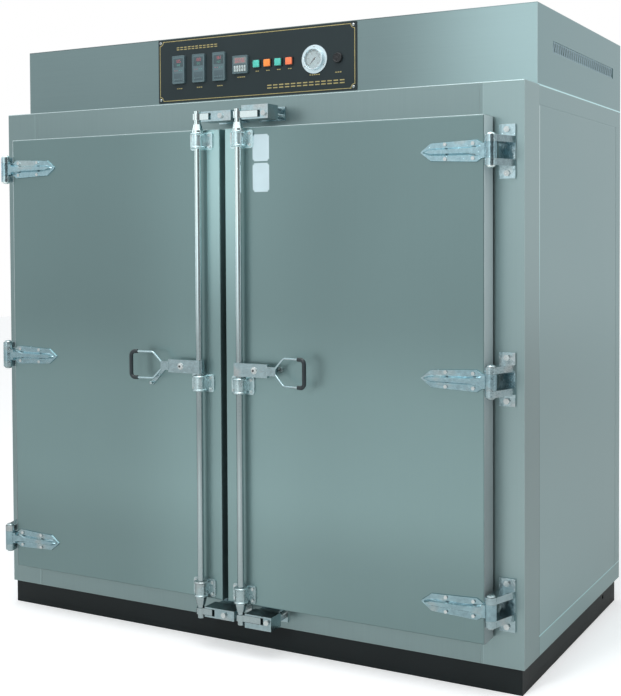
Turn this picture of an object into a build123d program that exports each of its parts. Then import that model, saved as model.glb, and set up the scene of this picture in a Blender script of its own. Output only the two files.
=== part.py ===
from build123d import *
import os
from math import atan2, cos, degrees, hypot, radians, sin

os.makedirs("parts", exist_ok=True)

# A two-door drying oven on a plinth, in millimetres.
# X runs to the right, the doors face -Y and Z is up. The origin is on the floor,
# under the middle of the oven with its handles and its exhaust spigot.

# Cabinet
cabinet_width = 1950
cabinet_depth = 1070
body_height = 1702
side_wall = 135
back_wall = 100
sheet = 2
seam = 0.5
frame_depth = 135
infill_border = 60
seam_line_width = 3
seam_line_depth = 1

# Plinth
plinth_height = 78
plinth_inset = 8
plinth_back_inset = 34
plinth_rail = 60
plinth_wall = 4
anchor_hole_radius = 7
anchor_inset = 60
pin_hole_radius = 8
pin_hole_height = 54
pin_hole_from_back = 193

# Header
header_height = 240
header_setback = 116
louvre_length = 713
louvre_height = 46
louvre_above_body = 105
louvre_from_back = 97
louvre_slots = 60
louvre_slot_width = 6
louvre_margin = 5

# Doors
door_thickness = 72
gasket_gap = 8
door_gap = 20
door_margin = 92
rail_above_door = 101
rail_below_door = 85
door_lap = 45
door_edge_radius = 4
edge_strip = 48
gasket_width = 24
gasket_squeeze = 0.3
gasket_gap_at_centre = 6
core_clearance = 0.5

# Strap hinges
hinge_spacing = 656
hinge_outboard = 23
hinge_forward = 10
knuckle_radius = 17
knuckle_half_height = 43
eye_half_height = 23.5
ear_clearance = 0.5
arm_thickness = 19
strap_length = 218
strap_plate = 5
strap_rib_height = 12
strap_shoulder_half = 27
strap_root_half = 33
strap_neck_half = 22.5
pin_radius = 7
pin_clearance = 0.05
pin_head_radius = 13
pin_head_height = 7
bracket_width = 49
bracket_half_height = 78
bracket_plate = 8
bracket_bolt_height = 63

# Lock rods
rod_from_centre = 76
rod_standoff = 25
rod_radius = 11
rod_wall = 2.5
rod_top_above_door = 58
rod_bottom_below_door = 58
running_clearance = 0.05
weld_gap = 0.1
cam_height = 20
cam_radius = 15
cam_above_door = 39
cam_below_door = 35
finger_thickness = 14
left_finger_reach = 46
right_finger_reach = 76
collar_radius = 18
collar_neck_radius = 13.5
collar_height = 26

# Rod bearings
bearing_plate_width = 84
bearing_plate_height = 58
bearing_plate_corner = 9
bearing_plate_thickness = 5
bearing_hub_radius = 19
bearing_hub_height = 36
bearing_flange_radius = 23
bearing_flange_height = 7
bearing_flange_bevel = 2
bearing_end_inset = 36
bearing_below_middle = 56
bearing_bolt_spread = 31
bearing_bolt_rise = 18

# Keepers
keeper_gap = 3
keeper_wall = 6
keeper_cheek = 5
pocket_clearance = 1
left_keeper_length = 112
right_keeper_length = 96
left_pocket_length = 38
right_pocket_length = 68
right_keeper_extra = 12
keeper_foot = 6

# Lever handles
handle_below_middle = 3
plate_end = 187
plate_thickness = 5
plate_half_height = 21
plate_flange = 9
lug_length = 30
lug_half_height = 14
loop_flare_start = 215
loop_flare_end = 247
loop_neck_half = 10
loop_half_height = 43
loop_end = 326
loop_corner = 14
loop_lean = 16
wire_radius = 3.5
grip_radius = 6.5
grip_leg = 24
handle_bolt_from_rod = 63
handle_bolt_radius = 8

# Handle catches
catch_from_rod = 137
catch_length = 93
catch_width = 12
catch_thickness = 4
catch_hang_angles = {"left": 46, "right": 180}
catch_knob_radius = 5
catch_knob_length = 12
stud_radius = 5
stud_clearance = 0.05

# Chamber
duct_width = 60
duct_setback = 5
duct_sheet = 2
plenum_height = 110
duct_slot_length = 90
duct_slot_height = 8
duct_slot_columns = 6
duct_slot_rows = 12
duct_slot_margin = 60
fan_inlet_radius = 95
shelf_levels = 4
shelf_pitch = 262
first_shelf_height = 262
shelf_lip = 20
shelf_end_gap = 30
shelf_side_gap = 4
shelf_slot_length = 80
shelf_slot_width = 10
shelf_slot_columns = 5
shelf_slot_rows = 12
shelf_slot_margin = 50
runner_size = 22
runner_thickness = 3
post_size = 30
post_inset = 60

# Heaters
heaters_per_side = 3
heater_length = 900
heater_radius = 6
fin_radius = 18
fin_thickness = 3
fins_per_heater = 18
heater_bar_height = 25
heater_bar_thickness = 4

# Fan
shaft_radius = 9.5
shaft_hole_radius = 14
impeller_radius = 180
impeller_gap = 16
impeller_height = 74
impeller_sheet = 3
blade_count = 8
blade_length = 88
blade_lean = 35
hub_radius = 26
motor_radius = 70
motor_height = 172
motor_flange = 190
motor_flange_thickness = 10
motor_rib_depth = 6
motor_ribs = 16
terminal_box = (50, 80, 60)

# Control panel, with X and Z places from the panel's middle
panel_width = 770
panel_height = 218
panel_thickness = 3
panel_above_body = 19
panel_corner_radius = 3
panel_screw_inset = 11
panel_screw_radius = 4.5
fit_gap = 0.5
controller_count = 3
controller_pitch = 82.5
controller_first_x = -297
controller_width = 50
controller_height = 96
controller_body_width = 44
controller_body_height = 91
controller_body_depth = 80
controller_bezel = 8
controller_rise = 2
timer_x = -47
timer_size = 60
timer_body = 44
timer_depth = 70
button_count = 4
button_pitch = 41.5
button_first_x = 16
button_size = 23
button_proud = 9
button_travel = 3
button_bezel = 28
button_bezel_depth = 5
button_stem = 10
button_depth = 30
button_clearance = 0.4
gauge_x = 233
gauge_drop = 1
gauge_flange_radius = 46
gauge_flange_thickness = 3
gauge_bezel_radius = 35
gauge_dial_radius = 31
gauge_bezel_depth = 11
gauge_body_radius = 30
gauge_body_depth = 32
pointer_length = 22
pointer_width = 2.4
pointer_thickness = 0.8
pointer_pivot_radius = 1.5
pointer_rest_angle = 225
lens_thickness = 1.5
buzzer_x = 319
buzzer_drop = 3
buzzer_radius = 16
buzzer_proud = 9
buzzer_body_radius = 11
buzzer_depth = 25

# Services at the back
spigot_radius = 40
spigot_wall = 1.5
spigot_length = 50
spigot_flange = 130
spigot_x = 500
gland_radius = 14
gland_bore_radius = 7
gland_proud = 26
gland_x = -800
gland_above_body = 60

# Hexagon bolts: distance across flats, head height, shank radius
frame_bolt = (16, 7, 5)
door_bolt = (10, 4, 3)
bolt_grip = 4
bolt_hole_clearance = 0.1

# Derived places
sides = {"left": -1, "right": 1}
cabinet_half = cabinet_width / 2
opening_half = cabinet_half - side_wall
body_bottom = plinth_height
body_top = body_bottom + body_height
header_top = body_top + header_height
door_face_reach = gasket_gap + door_thickness
handle_reach = door_face_reach + rod_standoff + rod_radius + plate_thickness / 2 + loop_lean + grip_radius
front = (handle_reach - spigot_length - cabinet_depth) / 2
back = front + cabinet_depth
frame_back = front + frame_depth
door_back = front - gasket_gap
door_face = door_back - door_thickness
door_inner = door_gap / 2
door_outer = cabinet_half - door_margin
door_bottom = body_bottom + rail_below_door
door_top = body_top - rail_above_door
door_middle = (door_bottom + door_top) / 2
opening_bottom = door_bottom + door_lap
opening_top = door_top - door_lap
liner_back = back - back_wall
header_front_y = front + header_setback
panel_face = header_front_y - panel_thickness
panel_middle_z = body_top + panel_above_body + panel_height / 2
hinge_x = door_outer + hinge_outboard
hinge_y = door_face - hinge_forward
hinge_heights = [door_middle + k * hinge_spacing for k in (-1, 0, 1)]
rod_y = door_face - rod_standoff
rod_bottom = door_bottom - rod_bottom_below_door
rod_top = door_top + rod_top_above_door
cam_heights = {"top": door_top + cam_above_door, "bottom": door_bottom - cam_below_door}
bearing_heights = [
    door_bottom + bearing_end_inset,
    door_middle - bearing_below_middle,
    door_top - bearing_end_inset,
]
handle_z = door_middle - handle_below_middle
plate_front = rod_y - rod_radius - plate_thickness


# Helpers

def block(x, y, z, mode=Mode.ADD):
    with Locations(((x[0] + x[1]) / 2, (y[0] + y[1]) / 2, (z[0] + z[1]) / 2)):
        Box(x[1] - x[0], y[1] - y[0], z[1] - z[0], mode=mode)


def across(side, inner, outer):
    return sorted((side * inner, side * outer))


def facing(y):
    return Plane(origin=(0, y, 0), x_dir=(1, 0, 0), z_dir=(0, -1, 0))


def save(piece, label):
    piece.part.label = label
    export_step(piece.part, f"parts/{label}.step")


def hex_bolt(x, y, z, bolt, grip):
    across_flats, head, shank = bolt
    with BuildSketch(facing(y)) as head_outline:
        with Locations((x, z)):
            RegularPolygon(across_flats / 2, 6, major_radius=False)
    extrude(head_outline.sketch, amount=head)
    with BuildSketch(facing(y)) as shank_outline:
        with Locations((x, z)):
            Circle(shank)
    extrude(shank_outline.sketch, amount=-grip)


def turned(x, y, profile):
    with BuildSketch(Plane(origin=(x, y, 0), x_dir=(1, 0, 0), z_dir=(0, -1, 0))) as outline:
        with BuildLine():
            Polyline(*profile, close=True)
        make_face()
    revolve(outline.sketch, axis=Axis((x, y, 0), (0, 0, 1)))


def bolt_holes(places, y, depth, bolt):
    with BuildSketch(facing(y)) as holes:
        with Locations(*places):
            Circle(bolt[2] + bolt_hole_clearance)
    extrude(holes.sketch, amount=-depth, mode=Mode.SUBTRACT)


# Plinth

plinth_half = cabinet_half - plinth_inset
plinth_front = front + plinth_inset
plinth_back = back - plinth_back_inset
inner_rail_height = (plinth_wall, plinth_height - plinth_wall)

with BuildPart() as plinth_frame:
    for y_outer, inward in ((plinth_front, 1), (plinth_back, -1)):
        block(
            (-plinth_half, plinth_half),
            sorted((y_outer, y_outer + inward * plinth_rail)),
            (0, plinth_height),
        )
        block(
            (-plinth_half + plinth_wall, plinth_half - plinth_wall),
            sorted((y_outer + inward * plinth_wall, y_outer + inward * (plinth_rail + plinth_wall))),
            inner_rail_height,
            mode=Mode.SUBTRACT,
        )
    side_rail_y = (plinth_front + plinth_rail + seam, plinth_back - plinth_rail - seam)
    for side in sides.values():
        block(across(side, plinth_half - plinth_rail, plinth_half), side_rail_y, (0, plinth_height))
        block(
            across(side, plinth_half - 2 * plinth_rail, plinth_half - plinth_wall),
            side_rail_y,
            inner_rail_height,
            mode=Mode.SUBTRACT,
        )
        with Locations(Location((side * plinth_half, back - pin_hole_from_back, pin_hole_height), (0, 90, 0))):
            Cylinder(pin_hole_radius, 4 * plinth_wall, mode=Mode.SUBTRACT)
    anchor_y = (plinth_front + plinth_rail / 2, plinth_back - plinth_rail / 2)
    for y in anchor_y:
        for side in sides.values():
            with Locations((side * (plinth_half - anchor_inset), y, 0)):
                Cylinder(anchor_hole_radius, 3 * plinth_wall, mode=Mode.SUBTRACT)
save(plinth_frame, "plinth_frame")


# Places of the keepers and of the bolts that the front frame carries

keeper_front = rod_y - finger_thickness / 2
pocket_back = rod_y + left_finger_reach + keeper_gap
keeper_back = pocket_back + keeper_wall
keeper_lengths = {"left": left_keeper_length, "right": right_keeper_length}
pocket_lengths = {"left": left_pocket_length, "right": right_pocket_length}
pocket_half = cam_height / 2 + pocket_clearance
keeper_starts = {n: s * rod_from_centre + cam_radius + keeper_gap for n, s in sides.items()}
keeper_bolts = [
    (keeper_starts[n] + (pocket_lengths[n] + keeper_lengths[n]) / 2, z)
    for n in sides
    for z in cam_heights.values()
]
bracket_bolts = [
    (side * (hinge_x + bracket_width / 2 - frame_bolt[2]), z + rise)
    for side in sides.values()
    for z in hinge_heights
    for rise in (-bracket_bolt_height, bracket_bolt_height)
]


# Front frame: two stiles with two rails between them

with BuildPart() as front_frame:
    for side in sides.values():
        block(across(side, opening_half, cabinet_half), (front, frame_back), (body_bottom, body_top))
        block(
            across(side, opening_half + sheet, cabinet_half - sheet),
            (front + sheet, frame_back + sheet),
            (body_bottom + sheet, body_top - sheet),
            mode=Mode.SUBTRACT,
        )
    rail_half = opening_half - seam
    for z in ((body_bottom, opening_bottom), (opening_top, body_top)):
        block((-rail_half, rail_half), (front, frame_back), z)
        block(
            (-rail_half + sheet, rail_half - sheet),
            (front + sheet, frame_back + sheet),
            (z[0] + sheet, z[1] - sheet),
            mode=Mode.SUBTRACT,
        )
    bolt_holes(bracket_bolts, front, 2 * sheet, frame_bolt)
    bolt_holes(keeper_bolts, front, 2 * sheet, frame_bolt)
save(front_frame, "front_frame")


# Outer casing

casing_y = (frame_back + seam, back - sheet - seam)
infill_z = (body_bottom + infill_border, body_top - infill_border)
infill_back = back - infill_border

for name, side in sides.items():
    with BuildPart() as casing_side:
        block(across(side, cabinet_half - sheet, cabinet_half), (frame_back + seam, back), (body_bottom, body_top))
        line_x = across(side, cabinet_half - seam_line_depth, cabinet_half + seam_line_depth)
        for z in infill_z:
            block(
                line_x,
                (frame_back, infill_back),
                (z - seam_line_width / 2, z + seam_line_width / 2),
                mode=Mode.SUBTRACT,
            )
        block(
            line_x,
            (infill_back - seam_line_width / 2, infill_back + seam_line_width / 2),
            infill_z,
            mode=Mode.SUBTRACT,
        )
    save(casing_side, f"casing_{name}")

inside_half = cabinet_half - sheet - seam
plenum_z = (opening_top - sheet - plenum_height, opening_top - sheet)
spigot_z = (plenum_z[0] + plenum_z[1]) / 2

with BuildPart() as casing_back:
    block((-inside_half, inside_half), (back - sheet, back), (body_bottom, body_top))
    with Locations(Location((spigot_x, back, spigot_z), (90, 0, 0))):
        Cylinder(spigot_radius + fit_gap, 4 * sheet, mode=Mode.SUBTRACT)
save(casing_back, "casing_back")

fan_y = (frame_back + liner_back) / 2

with BuildPart() as casing_roof:
    block((-inside_half, inside_half), casing_y, (body_top - sheet, body_top))
    with Locations((0, fan_y, body_top)):
        Cylinder(shaft_hole_radius, 4 * sheet, mode=Mode.SUBTRACT)
save(casing_roof, "casing_roof")

with BuildPart() as casing_floor:
    block((-inside_half, inside_half), casing_y, (body_bottom, body_bottom + sheet))
save(casing_floor, "casing_floor")


# Inner liner: five panels round the chamber

liner_y = (frame_back + seam, liner_back)
panel_y = (frame_back + seam, liner_back - sheet - seam)
panel_half = opening_half - sheet - seam

with BuildPart() as inner_liner:
    for side in sides.values():
        block(across(side, opening_half - sheet, opening_half), liner_y, (opening_bottom, opening_top))
    block((-panel_half, panel_half), (liner_back - sheet, liner_back), (opening_bottom, opening_top))
    block((-panel_half, panel_half), panel_y, (opening_bottom, opening_bottom + sheet))
    block((-panel_half, panel_half), panel_y, (opening_top - sheet, opening_top))
    with Locations((0, fan_y, opening_top)):
        Cylinder(shaft_hole_radius, 4 * sheet, mode=Mode.SUBTRACT)
    with Locations(Location((spigot_x, liner_back, spigot_z), (90, 0, 0))):
        Cylinder(spigot_radius + fit_gap, 4 * sheet, mode=Mode.SUBTRACT)
save(inner_liner, "inner_liner")


# Insulation slabs between liner and casing

with BuildPart() as insulation:
    slab_z = (body_bottom + sheet + seam, body_top - sheet - seam)
    for side in sides.values():
        block(
            across(side, opening_half + seam, cabinet_half - sheet - seam),
            (frame_back + seam, liner_back),
            slab_z,
        )
    block((-inside_half + seam, inside_half - seam), (liner_back + seam, back - sheet - seam), slab_z)
    block((-opening_half, opening_half), liner_y, (slab_z[0], opening_bottom - seam))
    block((-opening_half, opening_half), liner_y, (opening_top + seam, slab_z[1]))
    with Locations((0, fan_y, (opening_top + body_top) / 2)):
        Cylinder(shaft_hole_radius, body_top - opening_top, mode=Mode.SUBTRACT)
    with Locations(Location((spigot_x, (liner_back + back) / 2, spigot_z), (90, 0, 0))):
        Cylinder(spigot_radius + fit_gap, back_wall, mode=Mode.SUBTRACT)
save(insulation, "insulation")


# Air ducts: a slotted wall at each side, with its front closer, and a false ceiling

duct_face = opening_half - sheet - duct_width
duct_y = (frame_back + duct_setback, liner_back - sheet - seam)
chamber_floor = opening_bottom + sheet
duct_z = (chamber_floor, plenum_z[0] - duct_sheet)

with BuildPart() as air_ducts:
    closer_y = (duct_y[0], duct_y[0] + duct_sheet)
    wall_y = (closer_y[1] + seam, duct_y[1])
    for side in sides.values():
        block(across(side, duct_face - duct_sheet, duct_face), wall_y, duct_z)
        block(across(side, duct_face - duct_sheet, opening_half - sheet - seam), closer_y, duct_z)
    slot_y_pitch = (wall_y[1] - wall_y[0] - 2 * duct_slot_margin - duct_slot_length) / (duct_slot_columns - 1)
    slot_z_pitch = (duct_z[1] - duct_z[0] - 2 * duct_slot_margin - duct_slot_height) / (duct_slot_rows - 1)
    middle_y = (wall_y[0] + wall_y[1]) / 2
    middle_z = (duct_z[0] + duct_z[1]) / 2
    with BuildSketch(Plane(origin=(0, middle_y, middle_z), x_dir=(0, 1, 0), z_dir=(1, 0, 0))):
        with GridLocations(slot_y_pitch, slot_z_pitch, duct_slot_columns, duct_slot_rows):
            SlotOverall(duct_slot_length, duct_slot_height)
    extrude(amount=duct_face + duct_sheet, both=True, mode=Mode.SUBTRACT)
    ceiling_z = (plenum_z[0] - duct_sheet + seam, plenum_z[0] + seam)
    block((-duct_face, duct_face), (closer_y[1] + seam, duct_y[1]), ceiling_z)
    block((-panel_half, panel_half), closer_y, (ceiling_z[0], opening_top - sheet - seam))
    with Locations((0, fan_y, plenum_z[0])):
        Cylinder(fan_inlet_radius, 4 * duct_sheet, mode=Mode.SUBTRACT)
save(air_ducts, "air_ducts")


# Shelf runners: two middle posts and an angle for each side of each shelf

post_y = (duct_y[0] + post_inset, duct_y[1] - post_inset - post_size)
shelf_y = (duct_y[0] + shelf_end_gap, duct_y[1] - shelf_end_gap)
duct_inner = duct_face - duct_sheet
shelf_heights = [chamber_floor + first_shelf_height + k * shelf_pitch for k in range(shelf_levels)]

with BuildPart() as shelf_runners:
    for y in post_y:
        block((-post_size / 2, post_size / 2), (y, y + post_size), (chamber_floor, ceiling_z[0]))
    for z in shelf_heights:
        for side in sides.values():
            inner = post_size / 2 + weld_gap
            block(across(side, inner, inner + runner_size), shelf_y, (z - runner_thickness, z))
            block(across(side, inner, inner + runner_thickness), shelf_y, (z - runner_size, z))
            outer = duct_inner
            block(across(side, outer - runner_size, outer), shelf_y, (z - runner_thickness, z))
            block(across(side, outer - runner_thickness, outer), shelf_y, (z - runner_size, z))
save(shelf_runners, "shelf_runners")


# Slotted shelves, two on each level

shelf_x = (post_size / 2 + shelf_side_gap, duct_inner - shelf_side_gap)
shelf_width = shelf_x[1] - shelf_x[0]
shelf_depth = shelf_y[1] - shelf_y[0]
slot_x_pitch = (shelf_width - 2 * shelf_slot_margin - shelf_slot_length) / (shelf_slot_columns - 1)
shelf_slot_pitch = (shelf_depth - 2 * shelf_slot_margin - shelf_slot_width) / (shelf_slot_rows - 1)
lip_x = shelf_width - 2 * runner_size

with BuildPart() as shelf:
    with Locations((0, 0, sheet / 2)):
        Box(shelf_width, shelf_depth, sheet)
    for end in (-1, 1):
        with Locations((0, end * (shelf_depth - sheet) / 2, -shelf_lip / 2)):
            Box(lip_x, sheet, shelf_lip)
    with BuildSketch():
        with GridLocations(slot_x_pitch, shelf_slot_pitch, shelf_slot_columns, shelf_slot_rows):
            SlotOverall(shelf_slot_length, shelf_slot_width)
    extrude(amount=2 * sheet, both=True, mode=Mode.SUBTRACT)

with BuildPart() as shelves:
    shelf_middle = (shelf_x[0] + shelf_x[1]) / 2
    with Locations(*[
        (side * shelf_middle, (shelf_y[0] + shelf_y[1]) / 2, z)
        for side in sides.values()
        for z in shelf_heights
    ]):
        add(shelf.part)
save(shelves, "shelves")


# Finned heaters in the side ducts

heater_pitch = (duct_y[1] - duct_y[0]) / (heaters_per_side + 1)
heater_z = middle_z - heater_length / 2
heater_x = opening_half - sheet - duct_width / 2
fin_pitch = (heater_length - 2 * heater_bar_height) / fins_per_heater

with BuildPart() as heater:
    Cylinder(heater_radius, heater_length, align=(Align.CENTER, Align.CENTER, Align.MIN))
    with Locations(*[(0, 0, heater_bar_height + (k + 0.5) * fin_pitch) for k in range(fins_per_heater)]):
        Cylinder(fin_radius, fin_thickness)

with BuildPart() as heaters:
    for side in sides.values():
        with Locations(*[
            (side * heater_x, duct_y[0] + (k + 1) * heater_pitch, heater_z) for k in range(heaters_per_side)
        ]):
            add(heater.part)
        bar_x = across(side, heater_x - heater_bar_thickness / 2, opening_half - sheet)
        bar_y = (duct_y[0] + heater_pitch / 2, duct_y[1] - heater_pitch / 2)
        for z in (heater_z, heater_z + heater_length - heater_bar_height):
            block(bar_x, bar_y, (z, z + heater_bar_height))
save(heaters, "heaters")


# Fan: a motor on the roof, and an impeller on its shaft in the plenum

motor_bottom = body_top + motor_flange_thickness
motor_top = motor_bottom + motor_height
shaft_top = motor_bottom + 0.6 * motor_height

with BuildPart() as fan_motor:
    with Locations((0, fan_y, body_top + motor_flange_thickness / 2)):
        Box(motor_flange, motor_flange, motor_flange_thickness)
    with Locations((0, fan_y, motor_bottom)):
        Cylinder(
            motor_radius - motor_rib_depth,
            motor_height,
            align=(Align.CENTER, Align.CENTER, Align.MIN),
        )
    with BuildSketch(Plane.XY.offset(motor_bottom + motor_flange_thickness)):
        with Locations((0, fan_y)):
            with PolarLocations(motor_radius - 1.5 * motor_rib_depth, motor_ribs):
                Rectangle(3 * motor_rib_depth, motor_rib_depth / 2)
    extrude(amount=motor_height - 3 * motor_flange_thickness)
    block(
        (motor_radius - 2 * motor_rib_depth, motor_radius + terminal_box[0]),
        (fan_y - terminal_box[1] / 2, fan_y + terminal_box[1] / 2),
        (motor_bottom + terminal_box[2] / 2, motor_bottom + 1.5 * terminal_box[2]),
    )
    with Locations((0, fan_y, body_top)):
        Cylinder(
            shaft_radius + running_clearance,
            shaft_top - body_top + 1,
            align=(Align.CENTER, Align.CENTER, Align.MIN),
            mode=Mode.SUBTRACT,
        )
save(fan_motor, "fan_motor")

impeller_bottom = ceiling_z[1] + impeller_gap
impeller_top = impeller_bottom + impeller_height

with BuildPart() as fan_impeller:
    with Locations((0, fan_y, impeller_bottom)):
        Cylinder(shaft_radius, shaft_top - impeller_bottom, align=(Align.CENTER, Align.CENTER, Align.MIN))
        Cylinder(hub_radius, impeller_height, align=(Align.CENTER, Align.CENTER, Align.MIN))
    with Locations((0, fan_y, impeller_top - impeller_sheet)):
        Cylinder(impeller_radius, impeller_sheet, align=(Align.CENTER, Align.CENTER, Align.MIN))
    with BuildSketch(Plane.XY.offset(impeller_bottom)):
        with Locations((0, fan_y)):
            Circle(impeller_radius)
            Circle(fan_inlet_radius, mode=Mode.SUBTRACT)
    extrude(amount=impeller_sheet)
    blade_middle = (fan_inlet_radius + impeller_radius) / 2 - impeller_sheet
    with BuildSketch(Plane.XY.offset(impeller_bottom)):
        with Locations((0, fan_y)):
            with PolarLocations(blade_middle, blade_count):
                Rectangle(blade_length, impeller_sheet, rotation=blade_lean)
    extrude(amount=impeller_height)
save(fan_impeller, "fan_impeller")


# Header box

panel_left = -panel_width / 2
panel_bottom_z = body_top + panel_above_body
controller_z = panel_middle_z + controller_rise
controller_xs = [controller_first_x + k * controller_pitch for k in range(controller_count)]
button_xs = [button_first_x + k * button_pitch for k in range(button_count)]
gauge_z = panel_middle_z - gauge_drop
buzzer_z = panel_middle_z - buzzer_drop
screw_x = panel_width / 2 - panel_screw_inset
screw_z = panel_height / 2 - panel_screw_inset
screw_places = [(i * screw_x, panel_middle_z + j * screw_z) for i in (-1, 1) for j in (-1, 1)]
screw_shank = panel_screw_radius / 2


def panel_cutouts(y, depth):
    with BuildSketch(facing(y)) as cutouts:
        with Locations(*[(x, controller_z) for x in controller_xs]):
            Rectangle(controller_body_width + 2 * fit_gap, controller_body_height + 2 * fit_gap)
        with Locations((timer_x, controller_z)):
            Rectangle(timer_body + 2 * fit_gap, timer_body + 2 * fit_gap)
        with Locations(*[(x, panel_middle_z) for x in button_xs]):
            Circle(button_stem / 2 + button_clearance)
        with Locations((gauge_x, gauge_z)):
            Circle(gauge_body_radius + fit_gap)
        with Locations((buzzer_x, buzzer_z)):
            Circle(buzzer_body_radius + fit_gap)
        with Locations(*screw_places):
            Circle(screw_shank + bolt_hole_clearance)
    extrude(cutouts.sketch, amount=-depth, mode=Mode.SUBTRACT)


with BuildPart() as header_front:
    block((-cabinet_half, cabinet_half), (header_front_y, header_front_y + sheet), (body_top, header_top))
    panel_cutouts(header_front_y, 2 * sheet)
save(header_front, "header_front")

header_y = (header_front_y + sheet + seam, back)
louvre_z = body_top + louvre_above_body + louvre_height / 2
louvre_y = (back - louvre_from_back - louvre_length, back - louvre_from_back)

with BuildPart() as header_shell:
    for side in sides.values():
        block(across(side, cabinet_half - sheet, cabinet_half), header_y, (body_top, header_top))
        block(
            across(side, cabinet_half - 2 * sheet, cabinet_half + sheet),
            (louvre_y[0] + louvre_margin, louvre_y[1] - louvre_margin),
            (louvre_z - louvre_height / 2 + louvre_margin, louvre_z + louvre_height / 2 - louvre_margin),
            mode=Mode.SUBTRACT,
        )
    block((-inside_half, inside_half), (back - sheet, back), (body_top, header_top))
    with Locations(Location((gland_x, back, body_top + gland_above_body), (90, 0, 0))):
        Cylinder(gland_radius - 3, 4 * sheet, mode=Mode.SUBTRACT)
save(header_shell, "header_shell")

with BuildPart() as header_lid:
    block(
        (-inside_half, inside_half),
        (header_front_y + sheet + seam, back - sheet - seam),
        (header_top - sheet, header_top),
    )
save(header_lid, "header_lid")

slot_pitch = (louvre_length - 4 * louvre_margin) / louvre_slots

with BuildPart() as header_louvres:
    for side in sides.values():
        block(
            across(side, cabinet_half - 2 * sheet, cabinet_half - sheet),
            louvre_y,
            (louvre_z - louvre_height / 2, louvre_z + louvre_height / 2),
        )
    louvre_middle = (louvre_y[0] + louvre_y[1]) / 2
    with BuildSketch(Plane(origin=(0, louvre_middle, louvre_z), x_dir=(0, 1, 0), z_dir=(1, 0, 0))):
        with GridLocations(slot_pitch, 1, louvre_slots, 1):
            Rectangle(louvre_slot_width, louvre_height - 4 * louvre_margin)
    extrude(amount=cabinet_width, both=True, mode=Mode.SUBTRACT)
save(header_louvres, "header_louvres")


# Control panel and its instruments

with BuildPart() as control_panel:
    with BuildSketch(facing(header_front_y)):
        with Locations((0, panel_middle_z)):
            RectangleRounded(panel_width, panel_height, panel_corner_radius)
    extrude(amount=panel_thickness)
    panel_cutouts(panel_face, 2 * panel_thickness)
save(control_panel, "control_panel")

with BuildPart() as panel_screws:
    with BuildSketch(facing(panel_face)):
        with Locations(*screw_places):
            Circle(panel_screw_radius)
    extrude(amount=panel_screw_radius / 2)
    with BuildSketch(facing(panel_face)):
        with Locations(*screw_places):
            Circle(screw_shank)
    extrude(amount=-panel_thickness - 2 * sheet)
save(panel_screws, "panel_screws")

with BuildPart() as temperature_controllers:
    for x in controller_xs:
        with BuildSketch(facing(panel_face)):
            with Locations((x, controller_z)):
                RectangleRounded(controller_width, controller_height, 2 * sheet)
        extrude(amount=controller_bezel)
        with BuildSketch(facing(panel_face)):
            with Locations((x, controller_z)):
                Rectangle(controller_body_width, controller_body_height)
        extrude(amount=-controller_body_depth)
save(temperature_controllers, "temperature_controllers")

with BuildPart() as timer:
    with BuildSketch(facing(panel_face)):
        with Locations((timer_x, controller_z)):
            RectangleRounded(timer_size, timer_size, 2 * sheet)
    extrude(amount=controller_bezel)
    with BuildSketch(facing(panel_face)):
        with Locations((timer_x, controller_z)):
            Rectangle(timer_body, timer_body)
    extrude(amount=-timer_depth)
save(timer, "timer")

bezel_hole = button_size + 2 * button_clearance

with BuildPart() as button_bezels:
    for x in button_xs:
        with BuildSketch(facing(panel_face)):
            with Locations((x, panel_middle_z)):
                RectangleRounded(button_bezel, button_bezel, sheet)
                Rectangle(bezel_hole, bezel_hole, mode=Mode.SUBTRACT)
        extrude(amount=button_bezel_depth)
save(button_bezels, "button_bezels")

for number, x in enumerate(button_xs, start=1):
    with BuildPart() as push_button:
        with BuildSketch(facing(panel_face - button_travel - button_clearance)):
            with Locations((x, panel_middle_z)):
                RectangleRounded(button_size, button_size, sheet)
        extrude(amount=button_proud - button_travel)
        with BuildSketch(facing(panel_face - button_travel - button_clearance)):
            with Locations((x, panel_middle_z)):
                Circle(button_stem / 2)
        extrude(amount=-button_depth)
    save(push_button, f"push_button_{number}")

dial_y = panel_face - gauge_flange_thickness
bezel_y = dial_y - gauge_bezel_depth
pointer_y = dial_y - pointer_thickness

with BuildPart() as gauge_case:
    with BuildSketch(facing(panel_face)):
        with Locations((gauge_x, gauge_z)):
            Circle(gauge_flange_radius)
    extrude(amount=gauge_flange_thickness)
    with BuildSketch(facing(dial_y)):
        with Locations((gauge_x, gauge_z)):
            Circle(gauge_bezel_radius)
            Circle(gauge_dial_radius, mode=Mode.SUBTRACT)
    extrude(amount=gauge_bezel_depth)
    with BuildSketch(facing(panel_face)):
        with Locations((gauge_x, gauge_z)):
            Circle(gauge_body_radius)
    extrude(amount=-gauge_body_depth)
    with BuildSketch(facing(dial_y)):
        with Locations((gauge_x, gauge_z)):
            Circle(pointer_pivot_radius + running_clearance)
    extrude(amount=-2 * gauge_flange_thickness, mode=Mode.SUBTRACT)
save(gauge_case, "gauge_case")

pointer_plane = Plane(
    origin=(gauge_x, pointer_y, gauge_z),
    x_dir=(cos(radians(pointer_rest_angle)), 0, sin(radians(pointer_rest_angle))),
    z_dir=(0, -1, 0),
)

with BuildPart() as gauge_pointer:
    with BuildSketch(pointer_plane):
        with BuildLine():
            Polyline(
                (-pointer_length / 3, -pointer_width / 2),
                (pointer_length / 2, -pointer_width / 2),
                (pointer_length, 0),
                (pointer_length / 2, pointer_width / 2),
                (-pointer_length / 3, pointer_width / 2),
                close=True,
            )
        make_face()
        Circle(2 * pointer_pivot_radius)
    extrude(amount=pointer_thickness)
    with BuildSketch(facing(pointer_y)):
        with Locations((gauge_x, gauge_z)):
            Circle(pointer_pivot_radius)
    extrude(amount=-pointer_thickness - gauge_flange_thickness)
save(gauge_pointer, "gauge_pointer")

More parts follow.
